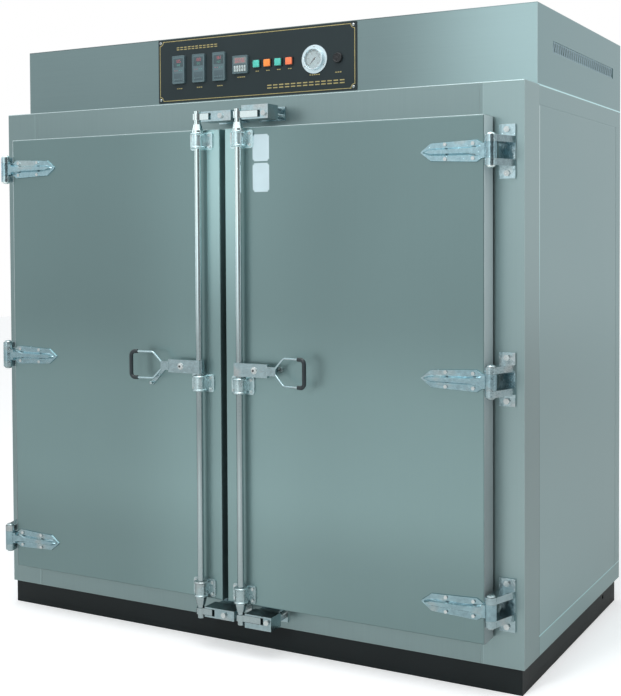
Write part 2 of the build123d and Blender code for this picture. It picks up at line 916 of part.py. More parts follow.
with BuildPart() as gauge_lens:
    with BuildSketch(facing(bezel_y + 2 * lens_thickness)):
        with Locations((gauge_x, gauge_z)):
            Circle(gauge_dial_radius - running_clearance)
    extrude(amount=lens_thickness)
save(gauge_lens, "gauge_lens")

with BuildPart() as buzzer:
    with BuildSketch(facing(panel_face)):
        with Locations((buzzer_x, buzzer_z)):
            Circle(buzzer_radius)
    extrude(amount=buzzer_proud)
    fillet(buzzer.edges().group_by(Axis.Y)[0], buzzer_proud / 4)
    with BuildSketch(facing(panel_face)):
        with Locations((buzzer_x, buzzer_z)):
            Circle(buzzer_body_radius)
    extrude(amount=-buzzer_depth)
save(buzzer, "buzzer")


# Services at the back: the exhaust spigot from the plenum, and a cable gland

with BuildPart() as exhaust_spigot:
    with BuildSketch(facing(back)):
        with Locations((spigot_x, spigot_z)):
            Rectangle(spigot_flange, spigot_flange)
            Circle(spigot_radius - spigot_wall, mode=Mode.SUBTRACT)
    extrude(amount=-spigot_wall)
    with BuildSketch(facing(back + spigot_length)):
        with Locations((spigot_x, spigot_z)):
            Circle(spigot_radius)
            Circle(spigot_radius - spigot_wall, mode=Mode.SUBTRACT)
    extrude(amount=spigot_length + back_wall)
save(exhaust_spigot, "exhaust_spigot")

with BuildPart() as cable_gland:
    gland_z = body_top + gland_above_body
    with BuildSketch(facing(back)):
        with Locations((gland_x, gland_z)):
            RegularPolygon(gland_radius, 6)
    extrude(amount=-gland_proud / 2)
    with BuildSketch(facing(back)):
        with Locations((gland_x, gland_z)):
            Circle(gland_radius - 3)
    extrude(amount=-gland_proud)
    with BuildSketch(facing(back)):
        with Locations((gland_x, gland_z)):
            Circle(gland_radius - 3 - bolt_hole_clearance)
    extrude(amount=3 * sheet)
    with BuildSketch(facing(back + gland_proud)):
        with Locations((gland_x, gland_z)):
            Circle(gland_bore_radius)
    extrude(amount=2 * gland_proud, mode=Mode.SUBTRACT)
save(cable_gland, "cable_gland")


# Hinge brackets on the stiles: a foot plate, two arms and two ears round the pin

foot_x = (hinge_x - frame_bolt[2], hinge_x - frame_bolt[2] + bracket_width)
ear_z = (eye_half_height + ear_clearance, knuckle_half_height)

with BuildPart() as hinge_brackets:
    for side in sides.values():
        for z in hinge_heights:
            block(
                across(side, *foot_x),
                (front - bracket_plate, front),
                (z - bracket_half_height, z + bracket_half_height),
            )
            for bottom in (z + ear_z[0], z - ear_z[0] - arm_thickness):
                with BuildSketch(Plane.XY.offset(bottom)):
                    with BuildLine():
                        Polyline(
                            (side * (hinge_x - knuckle_radius), hinge_y),
                            (side * (hinge_x + knuckle_radius), hinge_y),
                            (side * foot_x[1], front - bracket_plate),
                            (side * foot_x[0], front - bracket_plate),
                            close=True,
                        )
                    make_face()
                extrude(amount=arm_thickness)
            for bottom in (z + ear_z[0], z - ear_z[1]):
                with BuildSketch(Plane.XY.offset(bottom)):
                    with Locations((side * hinge_x, hinge_y)):
                        Circle(knuckle_radius)
                extrude(amount=ear_z[1] - ear_z[0])
            with Locations((side * hinge_x, hinge_y, z)):
                Cylinder(pin_radius + pin_clearance, 3 * knuckle_half_height, mode=Mode.SUBTRACT)
    bolt_holes(bracket_bolts, front - bracket_plate, 2 * bracket_plate, frame_bolt)
save(hinge_brackets, "hinge_brackets")

with BuildPart() as hinge_pins:
    for side in sides.values():
        for z in hinge_heights:
            with Locations((side * hinge_x, hinge_y, z)):
                Cylinder(pin_radius, 2 * knuckle_half_height)
            for end in (-1, 1):
                dome = [
                    (0, 0),
                    (pin_head_radius, 0),
                    (pin_head_radius, 0.3 * pin_head_height),
                    (0.86 * pin_head_radius, 0.7 * pin_head_height),
                    (0.5 * pin_head_radius, pin_head_height),
                    (0, pin_head_height),
                ]
                turned(side * hinge_x, hinge_y, [(r, z + end * (knuckle_half_height + h)) for r, h in dome])
save(hinge_pins, "hinge_pins")


# Keepers on the rails: each has two cheeks, a back and an end block round an open pocket

with BuildPart() as keepers:
    for name in sides:
        start = keeper_starts[name]
        end = start + keeper_lengths[name]
        pocket_end = start + pocket_lengths[name]
        for place, z in cam_heights.items():
            outward = 1 if place == "top" else -1
            extra = right_keeper_extra if name == "right" else 0
            deep = sorted((z + outward * pocket_half, z + outward * (pocket_half + keeper_cheek + extra)))
            thin = sorted((z - outward * pocket_half, z - outward * (pocket_half + keeper_cheek)))
            whole = (min(deep[0], thin[0]), max(deep[1], thin[1]))
            for cheek in (deep, thin):
                block((start, pocket_end - weld_gap), (keeper_front, keeper_back), cheek)
            block(
                (start, pocket_end - weld_gap),
                (pocket_back, keeper_back),
                (z - pocket_half + weld_gap, z + pocket_half - weld_gap),
            )
            block((pocket_end, end), (keeper_front, keeper_back), whole)
            neck_x = (start + keeper_wall, end - 3 * keeper_wall)
            block(
                neck_x,
                (keeper_back + weld_gap, front - keeper_foot - weld_gap),
                (whole[0] + keeper_cheek, whole[1] - keeper_cheek),
            )
            block((start, end), (front - keeper_foot, front), whole)
    bolt_holes(keeper_bolts, keeper_front, 2 * keeper_gap, frame_bolt)
    bolt_holes(keeper_bolts, keeper_front, front - keeper_front + sheet, frame_bolt)
save(keepers, "keepers")

with BuildPart() as frame_bolts:
    for x, z in bracket_bolts:
        hex_bolt(x, front - bracket_plate, z, frame_bolt, bracket_plate + sheet + bolt_grip)
    for x, z in keeper_bolts:
        hex_bolt(x, keeper_front, z, frame_bolt, front - keeper_front + sheet + bolt_grip)
save(frame_bolts, "frame_bolts")


# Doors

strap_bolt_reach = (0.25 * strap_length, 0.64 * strap_length)
strap_bolt_rise = 0.78 * strap_shoulder_half
strap_bolts = [
    (hinge_x - reach, z + rise * strap_bolt_rise)
    for reach in strap_bolt_reach
    for z in hinge_heights
    for rise in (-1, 1)
]
bearing_bolts = [
    (rod_from_centre + i * bearing_bolt_spread, z + j * bearing_bolt_rise)
    for z in bearing_heights
    for i in (-1, 1)
    for j in (-1, 1)
]
catch_x = rod_from_centre + catch_from_rod


def door_bolt_places(side, places):
    return [(side * x, z) for x, z in places]


for name, side in sides.items():
    door_x = across(side, door_inner, door_outer)
    stud_place = [(side * catch_x, door_middle)]

    with BuildPart() as door_skin:
        block(door_x, (door_face, door_back - sheet), (door_bottom, door_top))
        fillet(door_skin.edges().group_by(Axis.Y)[0], door_edge_radius)
        block(
            across(side, door_inner + sheet, door_outer - sheet),
            (door_face + sheet, door_back),
            (door_bottom + sheet, door_top - sheet),
            mode=Mode.SUBTRACT,
        )
        block(
            across(side, door_inner + edge_strip - seam_line_width / 2, door_inner + edge_strip + seam_line_width / 2),
            (door_face - seam_line_depth, door_face + seam_line_depth),
            (door_bottom + door_edge_radius, door_top - door_edge_radius),
            mode=Mode.SUBTRACT,
        )
        bolt_holes(door_bolt_places(side, strap_bolts + bearing_bolts), door_face, 2 * sheet, door_bolt)
        with BuildSketch(facing(door_face)):
            with Locations(*stud_place):
                Circle(stud_radius + bolt_hole_clearance)
        extrude(amount=-2 * sheet, mode=Mode.SUBTRACT)
    save(door_skin, f"door_skin_{name}")

    with BuildPart() as door_liner:
        block(door_x, (door_back - sheet, door_back), (door_bottom, door_top))
    save(door_liner, f"door_liner_{name}")

    with BuildPart() as door_core:
        bolt_room = sheet + bolt_grip + core_clearance
        block(
            across(side, door_inner + sheet + core_clearance, door_outer - sheet - core_clearance),
            (door_face + bolt_room, door_back - sheet - core_clearance),
            (door_bottom + sheet + core_clearance, door_top - sheet - core_clearance),
        )
    save(door_core, f"door_core_{name}")

    with BuildPart() as door_gasket:
        gasket_outer = opening_half + gasket_width + gasket_gap
        gasket_x = across(side, gasket_gap_at_centre / 2, gasket_outer)
        gasket_z = (opening_bottom - gasket_width - gasket_gap, opening_top + gasket_width + gasket_gap)
        gasket_y = (door_back, front - gasket_squeeze)
        block(gasket_x, gasket_y, gasket_z)
        block(
            across(side, gasket_gap_at_centre / 2 + gasket_width, gasket_outer - gasket_width),
            (gasket_y[0] - sheet, gasket_y[1] + sheet),
            (gasket_z[0] + gasket_width, gasket_z[1] - gasket_width),
            mode=Mode.SUBTRACT,
        )
    save(door_gasket, f"door_gasket_{name}")

    with BuildPart() as hinge_straps:
        for z in hinge_heights:
            strap_plane = Plane(origin=(side * hinge_x, door_face, z), x_dir=(-side, 0, 0), z_dir=(0, -1, 0))
            eye_edge = hinge_outboard - knuckle_radius / 2
            with BuildSketch(strap_plane):
                with BuildLine():
                    Polyline(
                        (eye_edge, -strap_neck_half),
                        (eye_edge, strap_neck_half),
                        (1.2 * hinge_outboard, strap_neck_half),
                        (0.2 * strap_length, strap_root_half),
                        (0.85 * strap_length, strap_shoulder_half),
                        (strap_length, strap_plate / 2),
                        (strap_length, -strap_plate / 2),
                        (0.85 * strap_length, -strap_shoulder_half),
                        (0.2 * strap_length, -strap_root_half),
                        (1.2 * hinge_outboard, -strap_neck_half),
                        close=True,
                    )
                make_face()
            extrude(amount=strap_plate, taper=20)
            with BuildSketch(strap_plane.offset(strap_plate)):
                with BuildLine():
                    Polyline(
                        (eye_edge, -0.8 * strap_neck_half),
                        (eye_edge, 0.8 * strap_neck_half),
                        (0.3 * strap_length, 0.45 * strap_shoulder_half),
                        (0.85 * strap_length, 0.4 * strap_shoulder_half),
                        (0.96 * strap_length, strap_plate / 2),
                        (0.96 * strap_length, -strap_plate / 2),
                        (0.85 * strap_length, -0.4 * strap_shoulder_half),
                        (0.3 * strap_length, -0.45 * strap_shoulder_half),
                        close=True,
                    )
                make_face()
            extrude(amount=strap_rib_height, taper=25)
            with Locations((side * hinge_x, hinge_y, z)):
                Cylinder(knuckle_radius, 2 * eye_half_height)
            block(
                across(side, hinge_x - 1.2 * hinge_outboard, hinge_x),
                (door_face - strap_plate - strap_rib_height, door_face),
                (z - 0.8 * strap_neck_half, z + 0.8 * strap_neck_half),
            )
            with Locations((side * hinge_x, hinge_y, z)):
                Cylinder(pin_radius + pin_clearance, 3 * eye_half_height, mode=Mode.SUBTRACT)
        bolt_holes(door_bolt_places(side, strap_bolts), door_face - strap_plate, 2 * strap_plate, door_bolt)
    save(hinge_straps, f"hinge_straps_{name}")

    with BuildPart() as rod_bearings:
        bore = rod_radius + running_clearance
        rod_x = side * rod_from_centre
        for z in bearing_heights:
            with BuildSketch(facing(door_face)):
                with Locations((rod_x, z)):
                    RectangleRounded(bearing_plate_width, bearing_plate_height, bearing_plate_corner)
            extrude(amount=bearing_plate_thickness)
            with BuildSketch(Plane.XY.offset(z - bearing_hub_height / 2)):
                with Locations((rod_x, rod_y)):
                    Circle(bearing_hub_radius)
                with Locations((rod_x, (rod_y + door_face) / 2)):
                    Rectangle(2 * bearing_hub_radius, rod_standoff)
            extrude(amount=bearing_hub_height)
            for bottom in (z - bearing_hub_height / 2 - bearing_flange_height, z + bearing_hub_height / 2):
                top = bottom + bearing_flange_height
                ring = [
                    (0, bottom),
                    (bearing_flange_radius - bearing_flange_bevel, bottom),
                    (bearing_flange_radius, bottom + bearing_flange_bevel),
                    (bearing_flange_radius, top - bearing_flange_bevel),
                    (bearing_flange_radius - bearing_flange_bevel, top),
                    (0, top),
                ]
                turned(rod_x, rod_y, ring)
            with Locations((rod_x, rod_y, z)):
                Cylinder(bore, 2 * bearing_plate_height, mode=Mode.SUBTRACT)
        bolt_holes(
            door_bolt_places(side, bearing_bolts),
            door_face - bearing_plate_thickness,
            2 * bearing_plate_thickness,
            door_bolt,
        )
    save(rod_bearings, f"rod_bearings_{name}")

    with BuildPart() as door_bolts:
        for x, z in strap_bolts:
            hex_bolt(side * x, door_face - strap_plate, z, door_bolt, strap_plate + sheet + bolt_grip)
        for x, z in bearing_bolts:
            hex_bolt(
                side * x,
                door_face - bearing_plate_thickness,
                z,
                door_bolt,
                bearing_plate_thickness + sheet + bolt_grip,
            )
        with BuildSketch(facing(door_face + sheet)):
            with Locations(*stud_place):
                Circle(stud_radius)
        extrude(amount=sheet + 1 + catch_thickness + 1)
        with BuildSketch(facing(door_face - catch_thickness - 2)):
            with Locations(*stud_place):
                Circle(1.6 * stud_radius)
        extrude(amount=sheet)
        with BuildSketch(facing(door_face)):
            with Locations(*stud_place):
                Circle(1.6 * stud_radius)
        extrude(amount=0.7)
    save(door_bolts, f"door_bolts_{name}")

    # Lock rod with its cams and collars
    reach = left_finger_reach if name == "left" else right_finger_reach
    with BuildPart() as lock_rod:
        with Locations((rod_x, rod_y, (rod_bottom + rod_top) / 2)):
            Cylinder(rod_radius, rod_top - rod_bottom)
            Cylinder(rod_radius - rod_wall, rod_top - rod_bottom - 2 * rod_wall, mode=Mode.SUBTRACT)
        for z in cam_heights.values():
            with BuildSketch(Plane.XY.offset(z - cam_height / 2)):
                with Locations((rod_x, rod_y)):
                    Circle(cam_radius)
                with Locations((rod_x + reach / 2, rod_y)):
                    Rectangle(reach, finger_thickness)
                with Locations((rod_x, rod_y)):
                    Circle(rod_radius + weld_gap, mode=Mode.SUBTRACT)
            extrude(amount=cam_height)
        collar_from_bearing = bearing_hub_height / 2 + bearing_flange_height + seam
        cone = [
            (rod_radius + weld_gap, collar_from_bearing),
            (collar_radius, collar_from_bearing),
            (collar_radius, collar_from_bearing + collar_height / 4),
            (collar_neck_radius, collar_from_bearing + collar_height),
            (rod_radius + weld_gap, collar_from_bearing + collar_height),
        ]
        for z, outward in ((bearing_heights[2], 1), (bearing_heights[0], -1)):
            turned(rod_x, rod_y, [(r, z + outward * h) for r, h in cone])
    save(lock_rod, f"lock_rod_{name}")

    # Lever handle: a channel plate welded to the rod, a lug and a wire loop that leans outward
    loop_start_y = plate_front + plate_thickness / 2
    lean_run = loop_end - loop_flare_start
    along = hypot(lean_run, loop_lean) / lean_run
    loop_plane = Plane(
        origin=(side * loop_flare_start, loop_start_y, handle_z),
        x_dir=(side * lean_run, -loop_lean, 0),
        z_dir=(side * loop_lean, lean_run, 0),
    )
    flare = (loop_flare_end - loop_flare_start) * along
    far = lean_run * along
    with BuildPart() as handle:
        plate_x = across(side, rod_from_centre - rod_radius, plate_end)
        plate_z = (handle_z - plate_half_height, handle_z + plate_half_height)
        block(plate_x, (plate_front, plate_front + plate_thickness), plate_z)
        for z in (plate_z[0], plate_z[1] - plate_thickness):
            block(
                across(side, rod_from_centre + rod_radius + weld_gap, plate_end),
                (plate_front, plate_front + plate_thickness + plate_flange),
                (z, z + plate_thickness),
            )
        with BuildSketch(Plane.XY.offset(plate_z[0])):
            with Locations((rod_x, rod_y)):
                Circle(rod_radius + plate_thickness)
                Circle(rod_radius + weld_gap, mode=Mode.SUBTRACT)
        extrude(amount=2 * plate_half_height)
        block(
            across(side, plate_end - 1, plate_end + lug_length),
            (plate_front - 1, plate_front + plate_thickness + 1),
            (handle_z - lug_half_height, handle_z + lug_half_height),
        )
        with BuildSketch(facing(plate_front)):
            with Locations((side * (rod_from_centre + handle_bolt_from_rod), handle_z)):
                Circle(handle_bolt_radius)
        extrude(amount=handle_bolt_radius / 2)
        with BuildLine(loop_plane) as loop_path:
            FilletPolyline(
                (0, -loop_neck_half),
                (flare, -loop_half_height),
                (far, -loop_half_height),
                (far, loop_half_height),
                (flare, loop_half_height),
                (0, loop_neck_half),
                radius=loop_corner,
            )
        with BuildSketch(Plane(origin=loop_path.line @ 0, z_dir=loop_path.line % 0)):
            Circle(wire_radius)
        sweep()
    save(handle, f"handle_{name}")

    with BuildPart() as handle_grip:
        grip_start = far - grip_leg
        with BuildLine(loop_plane) as grip_path:
            FilletPolyline(
                (grip_start, -loop_half_height),
                (far, -loop_half_height),
                (far, loop_half_height),
                (grip_start, loop_half_height),
                radius=loop_corner,
            )
        with BuildSketch(Plane(origin=grip_path.line @ 0, z_dir=grip_path.line % 0)):
            Circle(grip_radius)
            Circle(wire_radius + weld_gap, mode=Mode.SUBTRACT)
        sweep()
    save(handle_grip, f"handle_grip_{name}")

    # Catch that swings on its stud behind the loop
    hang = radians(catch_hang_angles[name])
    catch_angle = degrees(atan2(-sin(hang), side * cos(hang)))
    catch_y = door_face - 1
    with BuildPart() as handle_catch:
        with BuildSketch(facing(catch_y)):
            with Locations(Location((side * catch_x, door_middle), catch_angle)):
                with Locations((catch_length / 2, 0)):
                    SlotCenterToCenter(catch_length, catch_width)
                Circle(stud_radius + stud_clearance, mode=Mode.SUBTRACT)
        extrude(amount=catch_thickness)
        knob_x = side * (catch_x + catch_length * cos(hang))
        knob_z = door_middle - catch_length * sin(hang)
        with BuildSketch(facing(catch_y - catch_thickness)):
            with Locations((knob_x, knob_z)):
                Circle(catch_knob_radius)
        extrude(amount=catch_knob_length)
        fillet(handle_catch.edges().group_by(Axis.Y)[0], catch_knob_radius / 2)
    save(handle_catch, f"handle_catch_{name}")
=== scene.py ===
import math
import bmesh
import bpy
from mathutils import Matrix, Vector


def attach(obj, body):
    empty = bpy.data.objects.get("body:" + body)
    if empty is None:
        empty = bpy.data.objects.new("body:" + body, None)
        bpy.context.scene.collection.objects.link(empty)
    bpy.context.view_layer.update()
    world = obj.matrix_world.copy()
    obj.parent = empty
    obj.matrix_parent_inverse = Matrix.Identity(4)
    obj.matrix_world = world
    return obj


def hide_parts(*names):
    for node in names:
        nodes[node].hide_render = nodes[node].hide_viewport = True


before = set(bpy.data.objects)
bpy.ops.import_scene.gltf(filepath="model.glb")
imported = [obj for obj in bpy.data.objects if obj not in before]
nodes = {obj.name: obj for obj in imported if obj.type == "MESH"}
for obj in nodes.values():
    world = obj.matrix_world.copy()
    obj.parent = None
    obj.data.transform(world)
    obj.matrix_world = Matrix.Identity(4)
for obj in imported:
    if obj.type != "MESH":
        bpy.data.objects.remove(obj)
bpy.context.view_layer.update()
print("frame loaded:", len(nodes), "nodes")


# Camera, at the photograph's viewpoint
cameraSetup = {
    "place": (2.0757, -3.7563, 1.3395),
    "yaw": 28.85,
    "pitch": -1.70,
    "roll": -0.29,
    "lens": 61.39,
    "shiftY": -0.1115,
}


def makeCamera(setup):
    yaw, pitch, roll = (math.radians(setup[k]) for k in ("yaw", "pitch", "roll"))
    ahead = Vector((-math.sin(yaw) * math.cos(pitch), math.cos(yaw) * math.cos(pitch), math.sin(pitch)))
    level = Vector((math.cos(yaw), math.sin(yaw), 0))
    top = level.cross(ahead)
    right = level * math.cos(roll) + top * math.sin(roll)
    up = top * math.cos(roll) - level * math.sin(roll)
    data = bpy.data.cameras.new("camera")
    data.lens = setup["lens"]
    data.shift_y = setup["shiftY"]
    camera = bpy.data.objects.new("camera", data)
    turn = Matrix((right, up, -ahead)).transposed().to_4x4()
    camera.matrix_world = Matrix.Translation(setup["place"]) @ turn
    bpy.context.scene.collection.objects.link(camera)
    bpy.context.scene.camera = camera


# Studio: the camera sees white, shiny steel sees a room with light and dark walls
studio = {
    "softLight": 0.66,
    "walls": (
        (0.0, 0.60), (0.10, 0.18), (0.215, 0.14), (0.235, 1.9), (0.265, 1.9), (0.290, 0.30), (0.345, 0.72),
        (0.40, 0.80), (0.45, 0.92), (0.480, 1.40), (0.510, 1.40), (0.540, 0.30), (0.62, 0.10), (0.72, 0.10),
        (0.74, 1.1), (0.765, 1.1), (0.79, 0.12), (0.85, 0.45), (0.90, 0.80), (0.95, 0.86), (1.0, 0.60),
    ),
    "roomTint": (0.96, 0.99, 1.0),
    "softTint": (0.97, 0.99, 1.0),
    "ceiling": 1.30,
    "ceilingFade": (0.22, 0.62),
    "floorColour": (0.86, 0.87, 0.88),
    "floorSeenBySteel": (0.79, 0.78, 0.77),
    "floorGlow": 0.36,
    "floorSize": 24,
}
lamps = (
    {"name": "keyLamp", "place": (0.0, -4.2, 1.9), "size": 0.7, "power": 62, "inGloss": False},
    {"name": "topLamp", "place": (0.6, -2.2, 5.4), "size": 3.0, "power": 90, "inGloss": True},
)


def addToScene(name, data):
    item = bpy.data.objects.new(name, data)
    bpy.context.scene.collection.objects.link(item)
    return item


def feed(tree, node, values):
    for label, value in values.items():
        if isinstance(value, bpy.types.NodeSocket):
            tree.links.new(value, node.inputs[label])
        else:
            node.inputs[label].default_value = value
    return node


def makeNode(tree, kind, settings=None, slots=None, **values):
    node = tree.nodes.new(kind)
    for label, value in (settings or {}).items():
        setattr(node, label, value)
    return feed(tree, node, {**(slots or {}), **values})


def makeMath(tree, operation, first, second=0.0):
    return makeNode(tree, "ShaderNodeMath", {"operation": operation}, {0: first, 1: second}).outputs[0]


def mixColour(tree, factor, first, second):
    return makeNode(tree, "ShaderNodeMix", {"data_type": "RGBA"}, {0: factor, 6: first, 7: second}).outputs[2]


def objectPlace(tree):
    return tree.nodes.new("ShaderNodeTexCoord").outputs["Object"]


def makeRange(tree, value, low, high, start=0.0, end=1.0):
    limits = {"Value": value, "From Min": low, "From Max": high, "To Min": start, "To Max": end}
    return makeNode(tree, "ShaderNodeMapRange", {"interpolation_type": "SMOOTHSTEP"}, limits).outputs["Result"]


def makeWorld(setup):
    world = bpy.data.worlds.new("studio")
    bpy.context.scene.world = world
    world.use_nodes = True
    tree = world.node_tree
    tree.nodes.clear()
    path = tree.nodes.new("ShaderNodeLightPath").outputs
    place = tree.nodes.new("ShaderNodeTexCoord")
    split = makeNode(tree, "ShaderNodeSeparateXYZ", None, {0: place.outputs["Generated"]}).outputs
    turn = makeMath(tree, "ARCTAN2", split["X"], makeMath(tree, "MULTIPLY", split["Y"], -1.0))
    around = makeMath(tree, "ADD", makeMath(tree, "DIVIDE", turn, 2 * math.pi), 0.5)
    ring = makeNode(tree, "ShaderNodeValToRGB", Fac=around)
    ring.color_ramp.interpolation = "EASE"
    stops = ring.color_ramp.elements
    # the ramp holds half of each level, since its colours stop at 1
    for spot, shade in setup["walls"][1:-1]:
        stops.new(spot).color = (shade / 2, shade / 2, shade / 2, 1)
    for stop, (spot, shade) in ((stops[0], setup["walls"][0]), (stops[len(stops) - 1], setup["walls"][-1])):
        stop.position = spot
        stop.color = (shade / 2, shade / 2, shade / 2, 1)
    walls = makeMath(tree, "MULTIPLY", ring.outputs["Color"], 2.0)
    high = makeRange(tree, split["Z"], *setup["ceilingFade"])
    wallPart = makeMath(tree, "MULTIPLY", walls, makeMath(tree, "SUBTRACT", 1.0, high))
    room = makeMath(tree, "ADD", wallPart, makeMath(tree, "MULTIPLY", high, setup["ceiling"]))
    shiny = makeNode(tree, "ShaderNodeBackground", Color=(*setup["roomTint"], 1), Strength=room)
    soft = makeNode(tree, "ShaderNodeBackground", Color=(*setup["softTint"], 1), Strength=setup["softLight"])
    white = makeNode(tree, "ShaderNodeBackground", Color=(1, 1, 1, 1))
    inGloss = {0: path["Is Glossy Ray"], 1: soft.outputs[0], 2: shiny.outputs[0]}
    gloss = makeNode(tree, "ShaderNodeMixShader", None, inGloss)
    seen = makeMath(tree, "MAXIMUM", path["Is Camera Ray"], path["Is Transmission Ray"])
    view = makeNode(tree, "ShaderNodeMixShader", None, {0: seen, 1: gloss.outputs[0], 2: white.outputs[0]})
    makeNode(tree, "ShaderNodeOutputWorld", Surface=view.outputs[0])


def makeLamp(setup):
    data = bpy.data.lights.new(setup["name"], "AREA")
    data.size = setup["size"]
    data.energy = setup["power"]
    lamp = addToScene(setup["name"], data)
    lamp.location = setup["place"]
    lamp.visible_glossy = setup["inGloss"]
    aim = Vector((0, 0, 1)) - lamp.location
    lamp.rotation_euler = aim.to_track_quat("-Z", "Y").to_euler()


def makeFloor(setup):
    bpy.ops.mesh.primitive_plane_add(size=setup["floorSize"])
    floor = bpy.context.object
    floor.name = "floor"
    mat = bpy.data.materials.new("paleFloor")
    mat.use_nodes = True
    tree = mat.node_tree
    path = tree.nodes.new("ShaderNodeLightPath").outputs
    shade = mixColour(tree, path["Is Glossy Ray"], (*setup["floorColour"], 1), (*setup["floorSeenBySteel"], 1))
    feed(tree, tree.nodes["Principled BSDF"], {
        "Roughness": 0.9, "Specular IOR Level": 0.1, "Base Color": shade, "Emission Color": (1, 1, 1, 1),
        "Emission Strength": makeMath(tree, "MULTIPLY", path["Is Camera Ray"], setup["floorGlow"]),
    })
    floor.data.materials.append(mat)


bpy.context.scene.view_settings.view_transform = "Standard"
makeCamera(cameraSetup)
makeWorld(studio)
for lamp in lamps:
    makeLamp(lamp)
makeFloor(studio)
print("studio ready")


# Effects that several finishes share
def newGroup(name, inputs, outputs):
    tree = bpy.data.node_groups.new(name, "ShaderNodeTree")
    for label, kind, value in inputs:
        tree.interface.new_socket(name=label, in_out="INPUT", socket_type=kind).default_value = value
    for label, kind in outputs:
        tree.interface.new_socket(name=label, in_out="OUTPUT", socket_type=kind)
    return tree, tree.nodes.new("NodeGroupInput"), tree.nodes.new("NodeGroupOutput")


def makeGrain():
    tree, take, give = newGroup(
        "brushedGrain",
        [("Stretch", "NodeSocketVector", (1, 1, 1)), ("Detail", "NodeSocketFloat", 3)],
        [("Shade", "NodeSocketFloat")],
    )
    pulled = {0: objectPlace(tree), 1: take.outputs["Stretch"]}
    pull = makeNode(tree, "ShaderNodeVectorMath", {"operation": "MULTIPLY"}, pulled)
    noise = makeNode(
        tree, "ShaderNodeTexNoise", Vector=pull.outputs[0], Scale=1.0, Detail=take.outputs["Detail"], Roughness=0.6,
    )
    feed(tree, give, {"Shade": makeMath(tree, "SUBTRACT", noise.outputs["Fac"], 0.5)})
    return tree


def makeCloud():
    tree, take, give = newGroup(
        "softCloud",
        [("Scale", "NodeSocketFloat", 1.5), ("Offset", "NodeSocketFloat", 0)],
        [("Shade", "NodeSocketFloat")],
    )
    moved = {0: objectPlace(tree), 1: take.outputs["Offset"]}
    move = makeNode(tree, "ShaderNodeVectorMath", {"operation": "ADD"}, moved)
    noise = makeNode(
        tree, "ShaderNodeTexNoise", Vector=move.outputs[0], Scale=take.outputs["Scale"], Detail=2.0, Roughness=0.45,
    )
    feed(tree, give, {"Shade": makeMath(tree, "SUBTRACT", noise.outputs["Fac"], 0.5)})
    return tree


# Painted highlight along sharp edges, broken up by noise
def makeEdgeHighlight():
    tree, take, give = newGroup(
        "edgeHighlight",
        [("Width", "NodeSocketFloat", 0.002), ("Unevenness", "NodeSocketFloat", 0.4)],
        [("Mask", "NodeSocketFloat")],
    )
    bevel = makeNode(tree, "ShaderNodeBevel", {"samples": 4}, Radius=take.outputs["Width"])
    geometry = tree.nodes.new("ShaderNodeNewGeometry")
    normals = {0: bevel.outputs["Normal"], 1: geometry.outputs["Normal"]}
    facing = makeNode(tree, "ShaderNodeVectorMath", {"operation": "DOT_PRODUCT"}, normals)
    sharp = makeRange(tree, makeMath(tree, "SUBTRACT", 1.0, facing.outputs["Value"]), 0.01, 0.2)
    noise = makeNode(tree, "ShaderNodeTexNoise", Vector=objectPlace(tree), Scale=60.0, Detail=3.0)
    uneven = makeMath(tree, "MULTIPLY", noise.outputs["Fac"], take.outputs["Unevenness"])
    kept = makeMath(tree, "SUBTRACT", 1.0, uneven)
    feed(tree, give, {"Mask": makeMath(tree, "MULTIPLY", sharp, kept)})
    return tree


def makeDust():
    tree, take, give = newGroup(
        "settledDust", [("Amount", "NodeSocketFloat", 0.3)], [("Mask", "NodeSocketFloat")],
    )
    geometry = tree.nodes.new("ShaderNodeNewGeometry")
    split = makeNode(tree, "ShaderNodeSeparateXYZ", None, {0: geometry.outputs["Normal"]})
    upward = makeRange(tree, split.outputs["Z"], 0.5, 1.0)
    noise = makeNode(tree, "ShaderNodeTexNoise", Vector=objectPlace(tree), Scale=25.0, Detail=5.0)
    patchy = makeMath(tree, "MULTIPLY", upward, noise.outputs["Fac"])
    feed(tree, give, {"Mask": makeMath(tree, "MULTIPLY", patchy, take.outputs["Amount"])})
    return tree


grainGroup = makeGrain()
cloudGroup = makeCloud()
edgeGroup = makeEdgeHighlight()
dustGroup = makeDust()


# A band adds its tone along one axis: rising between two places, or inside limits
def addBand(tree, tone, split, band):
    along = split.outputs[band["axis"]]
    if band.get("bothSides", True):
        along = makeMath(tree, "ABSOLUTE", along)
    if "rise" in band:
        amount = makeRange(tree, along, *band["rise"], 0.0, band["tone"])
        return makeMath(tree, "ADD", tone, amount)
    limits = [("GREATER_THAN", along, band["from"]), ("LESS_THAN", along, band["to"])]
    if "below" in band:
        limits.append(("LESS_THAN", split.outputs["Z"], band["below"]))
    if "beyond" in band:
        limits.append(("GREATER_THAN", makeMath(tree, "ABSOLUTE", split.outputs["X"]), band["beyond"]))
    inside = makeMath(tree, *limits[0])
    for limit in limits[1:]:
        inside = makeMath(tree, "MULTIPLY", inside, makeMath(tree, *limit))
    amount = band["tone"]
    if "fade" in band:
        start, end, last = band["fade"]
        amount = makeRange(tree, split.outputs["Z"], start, end, band["tone"], last)
    return makeMath(tree, "ADD", tone, makeMath(tree, "MULTIPLY", inside, amount))


finishRules = {
    "coatRoughness": 0.08,
    "grainDetail": 4.0,
    "cloudStep": 1.7,
    "tintFade": (0.02, 0.18),
    "highlightGain": 1.35,
    "highlightLift": 0.25,
    "dustColour": (0.42, 0.40, 0.37, 1),
    "cloudRoughness": 0.12,
    "dustRoughness": 0.5,
    "bumpStrength": 0.6,
}


